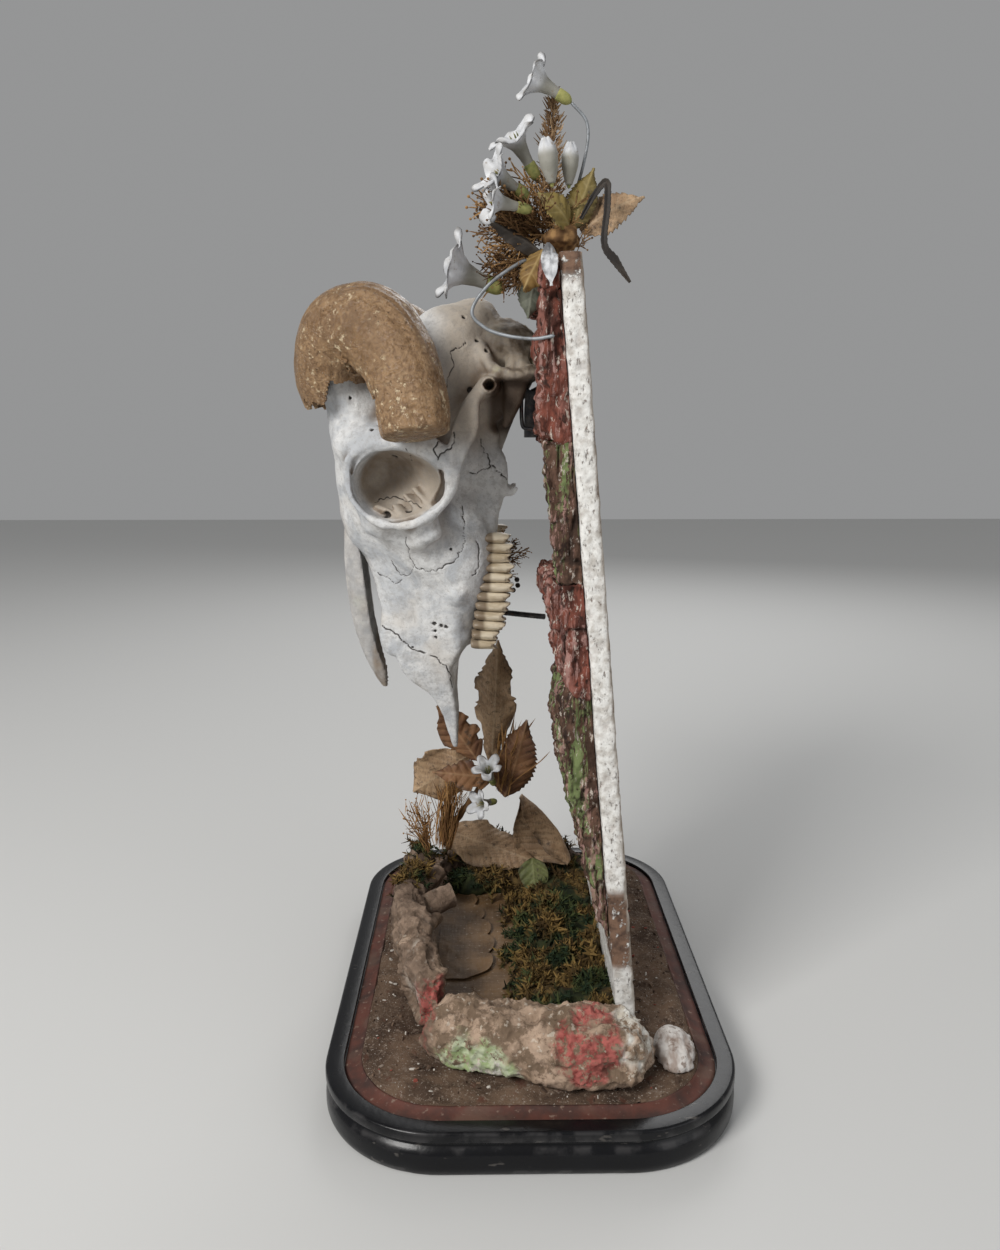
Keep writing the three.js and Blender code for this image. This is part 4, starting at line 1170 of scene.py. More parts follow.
def outline(inset, u):
    """Points round the plinth's outline, `inset` metres inside it, for u from 0 to 1."""
    w, h, r = HALF_WIDTH - inset, HALF_LENGTH - inset, max(CORNER - inset, 1 * MM)
    flats = [2 * (w - r), 2 * (h - r)]
    arc = math.pi / 2 * r
    legs = np.array([0, flats[1], arc, flats[0], arc, flats[1], arc, flats[0], arc])
    ends = np.cumsum(legs)
    s = (u % 1) * ends[-1]
    leg = np.clip(np.searchsorted(ends, s, side="right"), 1, 8)
    t = s - ends[leg - 1]
    centres = np.array([(w - r, h - r), (r - w, h - r), (r - w, r - h), (w - r, r - h)])
    quarter = (leg - 1) // 2
    curved = leg % 2 == 0
    turn = quarter * math.pi / 2 + np.where(curved, t / r, 0)
    centre = centres[quarter]
    run = np.where(curved, 0, t - np.array(legs)[leg])
    x = centre[:, 0] + r * np.cos(turn) - run * np.sin(quarter * math.pi / 2)
    y = centre[:, 1] + r * np.sin(turn) + run * np.cos(quarter * math.pi / 2)
    return x, y


def sweep(profile, around=320):
    """A profile of (inset, height) rows in millimetres, swept round the outline."""
    rows = np.array(profile, float) * MM

    def place(u, v):
        row = np.rint(v * (len(rows) - 1)).astype(int)
        co = np.zeros((len(u), 3))
        for k, (inset, height) in enumerate(rows):
            here = row == k
            co[here, 0], co[here, 1] = outline(inset, u[here])
            co[here, 2] = height
        return co

    return weld(sheet(around, len(rows) - 1, place))


def rounded(corners):
    """Rounds the inner corners of a profile given as (inset, height, radius)."""
    rows = []
    pts = [np.array(c[:2], float) for c in corners]
    for i, (c, p) in enumerate(zip(corners, pts)):
        if c[2] == 0 or i in (0, len(pts) - 1):
            rows.append(p)
            continue
        a, b = pts[i - 1] - p, pts[i + 1] - p
        a, b = p + a / np.linalg.norm(a) * c[2], p + b / np.linalg.norm(b) * c[2]
        for t in np.linspace(0, 1, 4):
            rows.append((1 - t) ** 2 * a + 2 * t * (1 - t) * p + t * t * b)
    return rows


PROFILE = rounded(
    [
        (16, 0, 0), (1.6, 0, 1), (0, 3, 2), (0, 11, 2.5), (3.1, 14.2, 0.7), (3.1, 16.6, 0.5),
        (0, 16.9, 1), (0, 22, 1.6), (9, 22, 0.5), (9, 19, 0), (17, 19, 0), (17, 20.4, 0),
        (24, 20.4, 0),
    ]
)
plinth = sweep(PROFILE)
with editing(plinth):
    bpy.ops.mesh.select_all(action="DESELECT")
    bpy.ops.mesh.select_non_manifold()
    bpy.ops.mesh.fill_holes(sides=0)
    bpy.ops.mesh.select_all(action="SELECT")
    bpy.ops.mesh.normals_make_consistent(inside=False)
co = points(plinth)
edge = np.maximum.reduce(
    [1 - ramp(np.abs(co[:, 2] - level * MM), 0.4 * MM, 1.6 * MM) for level in (2, 12.4, 17.2, 21.6)]
)
out = normals(plinth)
paint(plinth, "edge", edge * (1 - ramp(out[:, 2], 0.8, 0.97)))
chips = ramp(cloud(co, 9 * MM, 3), 0.35, 0.75) * ramp(co[:, 2], 6 * MM, 0.5 * MM)
move_points(plinth, co - out * (chips * 0.8 * MM * (co[:, 2] > 0.1 * MM))[:, None] * (1, 1, 0))
smooth(plinth, 38)

finish = Finish("Ebonised_wood", specular=0.3)
grain = finish.noise(90, 4, finish.stretched(1, 0.12, 1))
worn = finish.times(finish.stored("edge"), finish.spots(0.46, 0.62, 75, 4))
dust = finish.spots(0.42, 0.7, 38, 5, top=0.3)
finish.base(dust, (0.003, 0.003, 0.004), (0.008, 0.009, 0.011))
finish.coat(finish.times(worn, 0.35), (0.10, 0.095, 0.095))
scuffs = finish.spots(0.64, 0.7, 260, 5, finish.stretched(0.3, 1, 1), top=0.35)
finish.coat(scuffs, (0.16, 0.145, 0.13))
finish.bump(grain, 0.0004, 0.35)
finish.bump(finish.noise(420, 3), 0.0002, 0.3)
gloss = finish.math("ADD", finish.times(finish.noise(260, 5), 0.08), 0.22)
wood_finish = finish.done(gloss)
finished(plinth, "plinth", wood_finish, ("base_plinth",))

# %% Painted groove
groove = sweep(
    [
        (9.3, 19.1), (9.6, 20.1), (11.5, 20.4), (14.2, 20.9), (16.2, 22.0), (16.8, 22.6), (17.6, 22.8),
        (17.6, 19.1),
    ],
    260,
)
co = points(groove)
move_points(groove, co + np.array((0, 0, 1)) * (0.3 * MM * rough(co, 7 * MM, 1))[:, None])
smooth(groove)
finish = Finish("Groove_paint", roughness=0.7)
finish.ground((0.11, 0.036, 0.024), (0.045, 0.022, 0.017), 0.35, 0.7, 70, 4)
finish.fleck((0.115, 0.07, 0.05), 0.5, 0.68, 60, 5, top=0.6)
finish.fleck((0.24, 0.17, 0.13), 0.6, 0.7, 330, 5, top=0.7)
finish.bump(finish.noise(300, 4), 0.0005, 0.6)
finished(groove, "groove_paint", finish.done(), ("groove_lining",))

# %% [markdown]
# ## The ground
# Inside the groove lies a bed of glued soil, strewn with chips of plaster, bark and grit. The
# bed is one bent sheet. A chip is modelled once, as a crushed cube, and strewn by the hundred.


# %% Soil bed
def ground_height(x, y):
    co = columns(x, y, 0 * x)
    edge_near = np.maximum(np.abs(x) / (HALF_WIDTH - 0.017), np.abs(y) / (HALF_LENGTH - 0.017))
    rise = 1.6 * MM * rough(co, 22 * MM, 1) + 0.7 * MM * rough(co, 5 * MM, 2)
    return 24.3 * MM + rise - 1.6 * MM * ramp(edge_near, 0.9, 1.0)


def soil_place(u, v):
    reach = v**0.75
    x, y = outline(17.2 * MM, u)
    x, y = x * reach, y * reach
    z = np.where(v > 0.999, 21.6 * MM, ground_height(x, y))
    return columns(x, y, z)


soil = weld(sheet(300, 90, soil_place), 0.05 * MM)
smooth(soil)
finish = Finish("Dry_soil", roughness=0.95, specular=0.15)
finish.ground((0.150, 0.098, 0.066), (0.068, 0.044, 0.031), 0.35, 0.66, 45, 5)
finish.fleck((0.20, 0.15, 0.115), 0.53, 0.66, 420, 5, rough=0.7)
finish.fleck((0.42, 0.37, 0.32), 0.62, 0.7, 1100, 3, top=0.9)
finish.fleck((0.11, 0.045, 0.03), 0.6, 0.72, 110, 4, top=0.7)
finish.bump(finish.noise(500, 5, rough=0.7), 0.0011, 0.9)
soil_finish = finish.done()
finished(soil, "soil_bed", soil_finish, ("ground_bed",))


# %% Strewn copies of one small shape
def mesh_of_copies(template, placed, name):
    """One mesh with the template's faces on each set of placed points."""
    faces = [tuple(f.vertices) for f in template.data.polygons]
    step = len(template.data.vertices)
    all_faces = [tuple(i + k * step for i in f) for k in range(len(placed)) for f in faces]
    bpy.data.objects.remove(template)
    return new_object(name, np.concatenate(placed), all_faces)


def strewn(template, places, sizes, spin, name):
    """One mesh of many copies of a small shape, each turned, scaled and placed."""
    co = points(template)
    axis = spin.normal(size=(len(places), 3))
    axis /= np.linalg.norm(axis, axis=1)[:, None]
    tones = spin.uniform(0, 1, len(places))
    placed = []
    for place, size, spindle in zip(places, sizes, axis):
        turn = np.array(Matrix.Rotation(spin.uniform(0, 6.28), 3, Vector(spindle)))
        placed.append((co * size) @ turn.T + place)
    obj = mesh_of_copies(template, placed, name)
    paint(obj, "tone", np.repeat(tones, len(co)))
    return obj


spin = np.random.default_rng(21)
deselect()
bpy.ops.mesh.primitive_cube_add(size=1)
chip = bpy.context.object
with editing(chip):
    bpy.ops.mesh.bevel(offset=0.22, segments=1, affect="EDGES")
move_points(chip, points(chip) * (1, 0.7, 0.35))
CHIPS = 1500
u, v = spin.uniform(0, 1, CHIPS), spin.uniform(0.45, 0.985, CHIPS)
x, y = outline(17.4 * MM, u)
x, y = x * v, y * v
chip_places = columns(x, y, ground_height(x, y) + 0.2 * MM)
chip_sizes = (0.5 + 2.1 * spin.uniform(0, 1, CHIPS) ** 3)[:, None] * MM
chip_sizes = chip_sizes * spin.uniform(0.7, 1.4, (CHIPS, 3))
chips = strewn(chip, chip_places, chip_sizes, spin, "chips")
finish = Finish("Chips", roughness=0.9, specular=0.2)
tone = finish.stored("tone")
finish.base(finish.mask(tone, 0.45, 0.5), (0.075, 0.048, 0.034), (0.17, 0.115, 0.08))
finish.coat(finish.mask(tone, 0.72, 0.74), (0.50, 0.46, 0.41))
finish.coat(finish.mask(tone, 0.93, 0.94), (0.26, 0.07, 0.05))
finish.bump(finish.noise(900, 3), 0.0003, 0.6)
finished(chips, "soil_chips", finish.done())

# %% [markdown]
# ## Board and relief
# An upright board carries the skull. Its narrow front edge was painted white and has chipped
# back to brown. The side towards the skull carries slabs of coarse relief, like torn bark, in
# red, green and brown. Each slab starts from its CAD solid: a copy is merged, remeshed finely
# and roughened, so that it keeps its exact place on the board.


# %% A rough copy of a CAD solid
def copy_of(node):
    pick(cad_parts[node])
    bpy.ops.object.duplicate()
    twin = bpy.context.object
    for key in list(twin.keys()):
        del twin[key]
    twin.parent = None
    return weld(twin, 0.01 * MM)


def remeshed(node, voxel):
    return shape(copy_of(node), "REMESH", mode="VOXEL", voxel_size=voxel)


def rough_copy(node, voxel, depth, size, seed):
    obj = remeshed(node, voxel)
    co = points(obj)
    move_points(obj, co + normals(obj) * (depth * rough(co, size, seed, 4))[:, None])
    return obj


board = remeshed("relief_board", 1.6 * MM)
co, out = points(board), normals(board)
chipped = ramp(rough(co, 5 * MM, 5, 3), 0.55, 0.8)
move_points(board, co + out * (0.22 * MM * rough(co, 5 * MM, 2) - 0.5 * MM * chipped)[:, None])
paint(board, "bare", np.clip(chipped, 0, 1))
bare_foot = ramp(co[:, 2], 0.104, 0.099) * ramp(co[:, 2], 0.058, 0.063)
bare_head = ramp(co[:, 2], 0.384, 0.391)
paint(board, "foot", np.maximum(bare_foot, bare_head))
paint(board, "back", ramp(out[:, 0], 0.3, 0.7))
smooth(board, 60)

finish = Finish("White_paint_chipped", roughness=0.8, specular=0.25)
white = finish.mix(finish.spots(0.4, 0.7, 240, 5), (0.80, 0.79, 0.76), (0.52, 0.49, 0.45))
brown = finish.mix(finish.spots(0.4, 0.65, 200, 4), (0.20, 0.12, 0.08), (0.09, 0.055, 0.04))
flecks = finish.spots(0.575, 0.63, 520, 6, finish.stretched(1, 1, 0.45), rough=0.8)
bare = finish.math("MAXIMUM", finish.times(finish.stored("bare"), 0.3), finish.times(flecks, 0.75))
foot = finish.times(finish.stored("foot"), finish.spots(0.38, 0.44, 260, 6, rough=0.7))
bare = finish.math("MAXIMUM", bare, foot)
finish.base(bare, white, brown)
dull = finish.mix(finish.spots(0.35, 0.7, 30, 5), (0.50, 0.45, 0.39), (0.28, 0.22, 0.17))
dull = finish.mix(finish.spots(0.56, 0.64, 160, 5, rough=0.7), dull, (0.16, 0.10, 0.07))
finish.coat(finish.stored("back"), dull)
finish.bump(finish.noise(300, 6, rough=0.7), 0.0012, 0.8)
finish.bump(finish.times(bare, -1.0), 0.0006, 0.8)
board_finish = finish.done()
finished(board, "relief_board_painted", board_finish, ("relief_board",))


# %% Bark relief
def bark(name, node, seed, material, strong=2.5):
    obj = remeshed(node, 0.95 * MM)
    co, out = points(obj), normals(obj)
    strands = strong * MM * rough(co * (1, 1, 0.4), 6 * MM, seed, 4)
    cracks = ramp(np.abs(cloud(co * (1, 1, 0.3), 6 * MM, seed + 1)), 0.14, 0.0)
    crumbs = 1.1 * MM * rough(co, 3 * MM, seed + 2, 3)
    front = 1 - ramp(out[:, 0], 0.4, 0.8)  # nothing grows back into the board
    move_points(obj, co + out * ((strands + crumbs - 1.6 * MM * cracks) * front)[:, None])
    # Painted shade in the cracks, which are pressed into the relief.
    paint(obj, "crack_shade", cracks)
    smooth(obj, 70)
    return finished(obj, name, material, (node,))


def bark_finish(name, light, dark, accent, accent_share):
    finish = Finish(name, roughness=0.92, specular=0.15)
    strands = finish.stretched(1, 1, 0.35)
    stripes = finish.stretched(1, 1, 0.12)
    finish.ground(dark, light, 0.4, 0.62, 150, 6, strands, 0.7)
    patches = finish.spots(0.50, 0.56, 130, 5, stripes, 0.7)
    finish.coat(finish.times(patches, accent_share), accent)
    finish.fleck((0.42, 0.25, 0.22), 0.47, 0.42, 170, 6, stripes, 0.72, top=0.75)
    finish.fleck((0.60, 0.53, 0.46), 0.57, 0.64, 420, 5, strands, 0.7, top=0.9)
    finish.fleck((0.035, 0.022, 0.018), 0.58, 0.64, 260, 4, strands, top=0.85)
    # Near-black painted shade in the cracks.
    finish.coat(finish.times(finish.stored("crack_shade"), 0.8), (0.03, 0.02, 0.016))
    finish.bump(finish.noise(300, 6, strands, 0.75), 0.0022, 0.9)
    return finish.done()


red_bark = bark_finish("Relief_red", (0.23, 0.075, 0.052), (0.075, 0.030, 0.023), (0.34, 0.15, 0.12), 0.6)
green_bark = bark_finish(
    "Relief_green", (0.15, 0.085, 0.06), (0.06, 0.036, 0.026), (0.19, 0.24, 0.10), 0.95
)
bark("relief_strip_top", "relief_top_strip", 1, red_bark, 1.0)
bark("relief_block_upper", "relief_upper_block", 2, red_bark)
bark("relief_strip_face", "relief_face_strip", 3, green_bark, 1.2)
bark("relief_block_middle", "relief_middle_block", 4, red_bark)
bark("relief_slab_low", "relief_bark_slab", 5, green_bark)

# %% [markdown]
# ## Fixings
# A threaded rod holds the snout off the board. Near the ear a bracket and a bent wire hook
# steady the head. The wire that carries the side flower is plain soft wire.

# %% Rod, bracket and wires
finish = Finish("Dark_steel", roughness=0.42, metallic=0.85)
finish.ground((0.05, 0.05, 0.055), (0.13, 0.125, 0.12), 0.4, 0.7, 220, 4)
finish.fleck((0.14, 0.06, 0.03), 0.6, 0.7, 500, 4, top=0.6)
finish.bump(finish.noise(800, 3), 0.0002, 0.5)
steel = finish.done()
finish = Finish("Grey_wire", roughness=0.5, metallic=0.35)
finish.ground((0.28, 0.30, 0.32), (0.16, 0.165, 0.17), 0.4, 0.65, 160, 4)
finish.bump(finish.noise(900, 3), 0.0002, 0.5)
wire = finish.done()

ROD = [
    (-24, 0, 226.4, 1.6, 1.6), (-10, 0, 225, 1.6, 1.6), (0, 0, 223.9, 1.6, 1.6), (11.5, 0, 222.7, 1.6, 1.6)
]
THREADS = 44


def thread(u, v):
    return 1 - 0.11 * (0.5 + 0.5 * np.cos(2 * np.pi * (u + THREADS * v)))


rod = tube(mm(ROD), 18, THREADS * 8, surface=thread, ends=0.02)
finished(smooth(rod), "support_rod_threaded", steel, ("support_rod",))
bracket = copy_of("hook_bracket")
shape(bracket, "BEVEL", width=0.7 * MM, segments=3, limit_method="ANGLE")
finished(smooth(bracket, 40), "bracket_steel", steel, ("hook_bracket",))


def wire_piece(name, node, path, radius, steps, material, wide, ends=0.01, sides=10):
    rows = [(*place, radius, radius) for place in path]
    made = tube(mm(rows), sides, steps, wide=wide, ends=ends)
    return finished(smooth(made), name, material, (node,))


HOOK = [
    (-3, -22, 343), (-3, -22, 336), (-2.8, -22, 328), (-2, -22, 324.3), (0.5, -22, 323.4), (3.6, -22, 323),
    (5.2, -20.6, 323), (5.4, -15.4, 323),
]
wire_piece("hook_of_wire", "wire_hook", HOOK, 1, 90, steel, (0.3, 1, 0.2), 0.02, 14)
SIDE_WIRE = [
    (4, -60, 400), (-6, -66, 396), (-20, -68, 386), (-27, -68, 375), (-21, -69, 368), (-12, -72, 364.5),
    (0, -79, 362.5), (9.5, -82, 363.6),
]
wire_piece("side_wire", "flower_side_wire", SIDE_WIRE, 0.8, 120, wire, (0.1, 1, 0.1))

# %% [markdown]
# ## The pond
# The walls are crumpled paper dipped in glue, the way scenery for a toy theatre is made: soft
# folds, painted in patches of red, green and white. A copy of each CAD wall is remeshed, then
# pushed in along sharp creases and out in soft swellings.


# %% Crumpled paper walls
def crumpled(co, size, seed):
    """Paper that was crushed: flat facets between sharp creases."""
    bent = co + 0.35 * size * np.stack([cloud(co, size, seed + k) for k in (1, 2, 3)], axis=1)
    return sum((0.5 - np.abs(cloud(bent, size / 1.9**k, seed + k))) / 1.8**k for k in range(3))


def spot(co, centre, radii, soft=0.35):
    """1 inside an ellipsoid with a torn edge, fading to 0 outside it."""
    away = np.sqrt((((co - np.array(centre) * MM) / (np.array(radii) * MM)) ** 2).sum(1))
    return ramp(away + 0.35 * rough(co, 9 * MM, 31), 1 + soft / 2, 1 - soft / 2)


def paper_wall(name, node, seed):
    obj = remeshed(node, 1.0 * MM)
    co, out = points(obj), normals(obj)
    above = ramp(co[:, 2], 25.6 * MM, 30 * MM)
    folds = crumpled(co * (1, 1, 0.6), 21 * MM, seed)
    fine = crumpled(co, 7.5 * MM, seed + 5)
    push = (5.0 * (folds - 0.35) + 2.4 * (fine - 0.3) + 0.5 * rough(co, 2.2 * MM, seed, 2)) * MM
    skirt = 4.5 * MM * ramp(co[:, 2], 33 * MM, 25.5 * MM) * (
        0.5 + 0.5 * cloud(co * (1, 1, 0.1), 14 * MM, seed + 2)
    )
    move_points(obj, co + out * (push * (0.25 + 0.75 * above))[:, None] + out * (1, 1, 0) * skirt[:, None])
    co = points(obj)
    # Painted shade along the creases, where the paper is pushed in.
    paint(obj, "crease_shade", ramp(folds, -0.1, -0.45))
    red = spot(co, (25, -116, 42), (17, 30, 13)) + spot(co, (-47, -86, 40), (11, 18, 16))
    paint(obj, "red", np.clip(red, 0, 1))
    green = spot(co, (-27, -114, 34), (19, 26, 12)) + spot(co, (-66, 30, 48), (9, 17, 9))
    paint(obj, "green", np.clip(green, 0, 1))
    white = spot(co, (47, -106, 42), (9, 22, 16)) + spot(co, (-20, -120, 30), (12, 12, 7))
    white = white + spot(co, (-56, -40, 44), (6, 30, 12), 0.8) * 0.6
    paint(obj, "white", np.clip(white, 0, 1))
    left = ramp(co[:, 0], -0.044, -0.05) * (0.68 + 0.32 * ramp(co[:, 1], -0.03, 0.02))
    ground = 0.8 * ramp(co[:, 2] + 2 * MM * cloud(co, 7 * MM, 2), 31 * MM, 26.5 * MM)
    paint(obj, "dark", np.clip(np.maximum.reduce([left, ramp(co[:, 1], 0.07, 0.09), ground]), 0, 1))
    smooth(obj, 50)
    return finished(obj, name, paper_finish, (node,))


finish = Finish("Painted_paper", roughness=0.88, specular=0.2)
cream = finish.mix(finish.spots(0.35, 0.68, 55, 5), (0.50, 0.365, 0.27), (0.27, 0.19, 0.13))
dirt = finish.spots(0.455, 0.56, 120, 6, top=0.85, rough=0.72)
finish.base(dirt, cream, (0.16, 0.11, 0.072))
finish.fleck((0.66, 0.58, 0.48), 0.6, 0.68, 300, 4, top=0.7)
dark = finish.mix(finish.spots(0.42, 0.62, 140, 5), (0.10, 0.068, 0.05), (0.24, 0.17, 0.125))
finish.coat(finish.stored("dark"), dark)
red = finish.mix(finish.spots(0.42, 0.62, 260, 5), (0.46, 0.135, 0.115), (0.24, 0.06, 0.05))
share = finish.times(finish.stored("red"), finish.spots(0.45, 0.51, 190, 6, rough=0.75))
finish.coat(share, red)
white = finish.mix(finish.spots(0.4, 0.6, 240, 4), (0.78, 0.76, 0.70), (0.58, 0.53, 0.45))
share = finish.times(finish.stored("white"), finish.spots(0.41, 0.48, 150, 6, rough=0.72))
finish.coat(share, white)
green = finish.mix(finish.spots(0.4, 0.6, 170, 5), (0.36, 0.45, 0.22), (0.55, 0.60, 0.42))
share = finish.times(finish.stored("green"), finish.spots(0.42, 0.50, 160, 6, rough=0.72))
finish.coat(share, green)
# Painted shade in the creases of the paper.
finish.coat(finish.times(finish.stored("crease_shade"), 0.75), (0.09, 0.06, 0.042))
finish.bump(finish.noise(150, 6, rough=0.72, twist=0.8), 0.0022, 0.8)
finish.bump(finish.noise(420, 6, rough=0.7), 0.0009, 0.8)
paper_finish = finish.done()
paper_wall("paper_wall_front", "pond_wall_front", 4)
paper_wall("paper_wall_left", "pond_wall_left", 9)
paper_wall("paper_wall_back", "pond_wall_back", 14)

# %% Curled paper rolls on the left wall


def curl(place, axis, length, radius, turns, seed):
    """A strip of paper rolled up on itself."""
    spine = Vector(axis).normalized()
    side = spine.orthogonal().normalized()
    other = spine.cross(side)

    def roll(u, v):
        angle = 2 * np.pi * turns * v + 1.1 * seed
        away = radius * (1 - 0.55 * v) * MM * (1 + 0.12 * cloud(columns(3 * u, 3 * v, 0 * u), 1, seed))
        base = np.array(place) * MM + np.array(spine) * ((u - 0.5) * length * MM)[:, None]
        return base + np.array(side) * (
            away * np.cos(angle)
        )[:, None] + np.array(other) * (away * np.sin(angle))[:, None]

    made = sheet(16, 46, roll)
    return weld(shape(made, "SOLIDIFY", thickness=0.5 * MM, offset=0))


rolls = joined(
    [
        curl((-51, 12, 50), (0.9, 0.5, 0.2), 19, 8.5, 1.3, 1),
        curl((-55, 32, 52), (0.6, 0.9, 0.3), 20, 6.0, 1.1, 2),
        curl((-52, -6, 45), (0.3, 1, -0.2), 15, 5.0, 0.8, 3),
        curl((-60, -36, 51), (0.25, 1, -0.1), 30, 6.0, 0.55, 4),
    ]
)
co, out = points(rolls), normals(rolls)
move_points(rolls, co + out * (0.45 * MM * crumpled(co, 5 * MM, 3))[:, None])
paint(rolls, "dark", ramp(co[:, 1], -0.02, 0.01) * 0.8)
finished(smooth(rolls, 60), "paper_rolls", paper_finish)

# %% [markdown]
# The pond's bottom is a sheet of brown paper stiffened with varnish, and a second torn sheet with
# a scalloped edge lies over its left side.


# %% Pond floor
def leather(co):
    wrinkles = np.abs(cloud(co * (1, 0.45, 1), 9 * MM, 5)) + 0.5 * np.abs(cloud(co, 4 * MM, 6))
    return 0.4 * MM * rough(co, 16 * MM, 3) - 0.4 * MM * ramp(wrinkles, 0.18, 0.0)


WALL_LINE = np.array([(-84, -45), (-52, -56), (0, -64), (40, -66), (84, -60)])  # Y, X of the left wall


def pond_place(u, v):
    y = -94 + 176 * v
    left = np.interp(y, WALL_LINE[:, 0], WALL_LINE[:, 1])
    x = left + (12 - left) * u
    co = columns(x, y, 0 * x) * MM
    return co + np.array((0, 0, 1)) * (27.2 * MM + leather(co))[:, None]


pond = sheet(110, 240, pond_place)
weld(shape(pond, "SOLIDIFY", thickness=1.4 * MM, offset=-1))
smooth(pond, 60)
finish = Finish("Varnished_paper", roughness=0.62, specular=0.35)
finish.ground((0.185, 0.108, 0.050), (0.085, 0.048, 0.022), 0.36, 0.66, 45, 5)
threads = finish.times(
    finish.noise(900, 2, finish.stretched(1, 0.05, 1)), finish.noise(900, 2, finish.stretched(0.05, 1, 1))
)
finish.coat(finish.mask(threads, 0.26, 0.34, 0.4), (0.20, 0.135, 0.08))
finish.fleck((0.36, 0.29, 0.22), 0.62, 0.7, 500, 4, top=0.7)
finish.bump(threads, 0.0004, 0.6)
finish.bump(finish.noise(240, 5), 0.0006, 0.6)
floor_paper = finish.done()
finished(pond, "pond_floor_paper", floor_paper, ("pond_floor",))


def torn_layer(u, v):
    """A sheet whose free edge runs in scallops, each lifted a little off the sheet below."""
    y = (-36 + 106 * v) * MM
    scallop = np.abs(np.sin(5.2 * np.pi * v**1.2)) ** 0.5
    reach = (-29 + 8 * np.sin(3.4 * v + 0.5) + 4.5 * scallop) * MM
    reach = -49 * MM + (reach + 49 * MM) * ramp(v, -0.12, 0.08)
    x = -49 * MM + (reach + 49 * MM) * u
    co = columns(x, y, 0 * x)
    lift = 0.2 * MM + 1.2 * MM * ramp(u, 0.75, 1) * scallop + 0.3 * MM * rough(co, 6 * MM, 8)
    return columns(x, y, 27.7 * MM + lift)


torn = sheet(50, 130, torn_layer)
weld(shape(torn, "SOLIDIFY", thickness=0.6 * MM, offset=0))
finished(smooth(torn, 60), "pond_floor_torn_layer", floor_paper)

# %% Pale stone
stone = remeshed("pale_stone", 0.8 * MM)
co, out = points(stone), normals(stone)
flake = 1.1 * crumpled(co * (1, 0.5, 1), 8 * MM, 2) + 0.5 * rough(co, 2.4 * MM, 5, 2)
move_points(stone, co + out * (flake * MM)[:, None])
finish = Finish("Plaster_stone", roughness=0.8, specular=0.3)
finish.ground((0.60, 0.57, 0.54), (0.33, 0.27, 0.235), 0.4, 0.62, 130, 6, finish.stretched(1.6, 0.5, 1))
finish.fleck((0.20, 0.14, 0.11), 0.56, 0.66, 300, 5, top=0.8)
finish.bump(finish.noise(400, 5), 0.0008, 0.7)
finished(smooth(stone, 60), "stone_pale", finish.done(), ("pale_stone",))

# %% [markdown]
# ## Moss
# Moss is many short leafy stems. One stem is modelled with a few small blades, then planted by
# the hundred over the bank, leaning every way. The bank below keeps it from looking hollow.


# %% Planting copies
def planted(template, places, aims, sizes, spin, name):
    """One mesh of many copies of a small upright shape, each turned from +Z to its own aim."""
    co = points(template)
    placed = []
    for place, aim, size in zip(places, aims, sizes):
        turn = Matrix.Rotation(spin.uniform(0, 6.28), 3, "Z")
        turn = Vector(aim).to_track_quat("Z", "Y").to_matrix() @ turn
        placed.append((co * size) @ np.array(turn).T + place)
    obj = mesh_of_copies(template, placed, name)
    paint(obj, "tone", np.repeat(spin.uniform(0, 1, len(places)), len(co)))
    paint(obj, "height", np.tile(co[:, 2] / co[:, 2].max(), len(places)))
    return obj


def blade(length, width, lean, turn, foot=0.0, thick=0.25):
    """A flat pointed blade that leans out from the stem."""
    deselect()
    bpy.ops.mesh.primitive_cone_add(
        vertices=3, radius1=width / 2 * MM, radius2=0.12 * width * MM, depth=length * MM
    )
    obj = settle(bpy.context.object)
    co = points(obj) * (1, thick, 1) + (0, 0, length / 2 * MM)
    move_points(obj, co)
    obj.rotation_euler = (lean, 0, turn)
    obj.location = (0, 0, foot * MM)
    return settle(obj)


BANK_STEMS, STRAY_STEMS = 2050, 650
spin = np.random.default_rng(5)
stem_blades = [blade(5, 0.9, 0, 0, 0, 0.8)]
for k in range(6):
    stem_blades.append(blade(2.8, 1.35, 0.95, 2.4 * k, 0.9 + 0.6 * k))
moss_stem = joined(stem_blades)

bank = rough_copy("moss_bank", 1.5 * MM, 4.2 * MM, 13 * MM, 3)
co, out = points(bank), normals(bank)
top = np.flatnonzero(out[:, 2] > 0.15)
thick = 0.12 + ramp(rough(co[top], 17 * MM, 2), -0.35, 0.25) * ramp(co[top, 1], 0.095, 0.02) ** 0.5
chosen = spin.choice(top, BANK_STEMS, p=thick / thick.sum())
places = co[chosen] - out[chosen] * 0.5 * MM
aims = out[chosen] + spin.normal(0, 0.9, (BANK_STEMS, 3))
# Clumps on the walls: X, Y, how far they spread each way, and how many stems.
CLUMPS = [(-66, 26, 7, 16, 150), (-62, 60, 7, 16, 60), (-30, 98, 20, 8, 160), (10, 98, 26, 9, 260)]
starts = []
for x, y, wide, long, count in CLUMPS:
    above = np.full(count, 120)
    starts.append(columns(spin.normal(x, wide / 2, count), spin.normal(y, long / 2, count), above))
wall_points, wall_faces = [], []
for name in ("paper_wall_left", "paper_wall_back"):
    mesh, first = bpy.data.objects[name].data, len(wall_points)
    wall_points += [tuple(v.co) for v in mesh.vertices]
    wall_faces += [tuple(first + i for i in f.vertices) for f in mesh.polygons]
walls = BVHTree.FromPolygons(wall_points, wall_faces)
landed, facing = [], []
for start in np.concatenate(starts) * MM:
    hit, out_there, _, _ = walls.ray_cast(Vector(start), Vector((0, 0, -1)))
    if hit is not None:
        landed.append(tuple(hit))
        facing.append(tuple(out_there))
along_y = spin.uniform(-78, 66, STRAY_STEMS)
ragged_x = 4 - np.abs(spin.normal(0, 7, STRAY_STEMS))
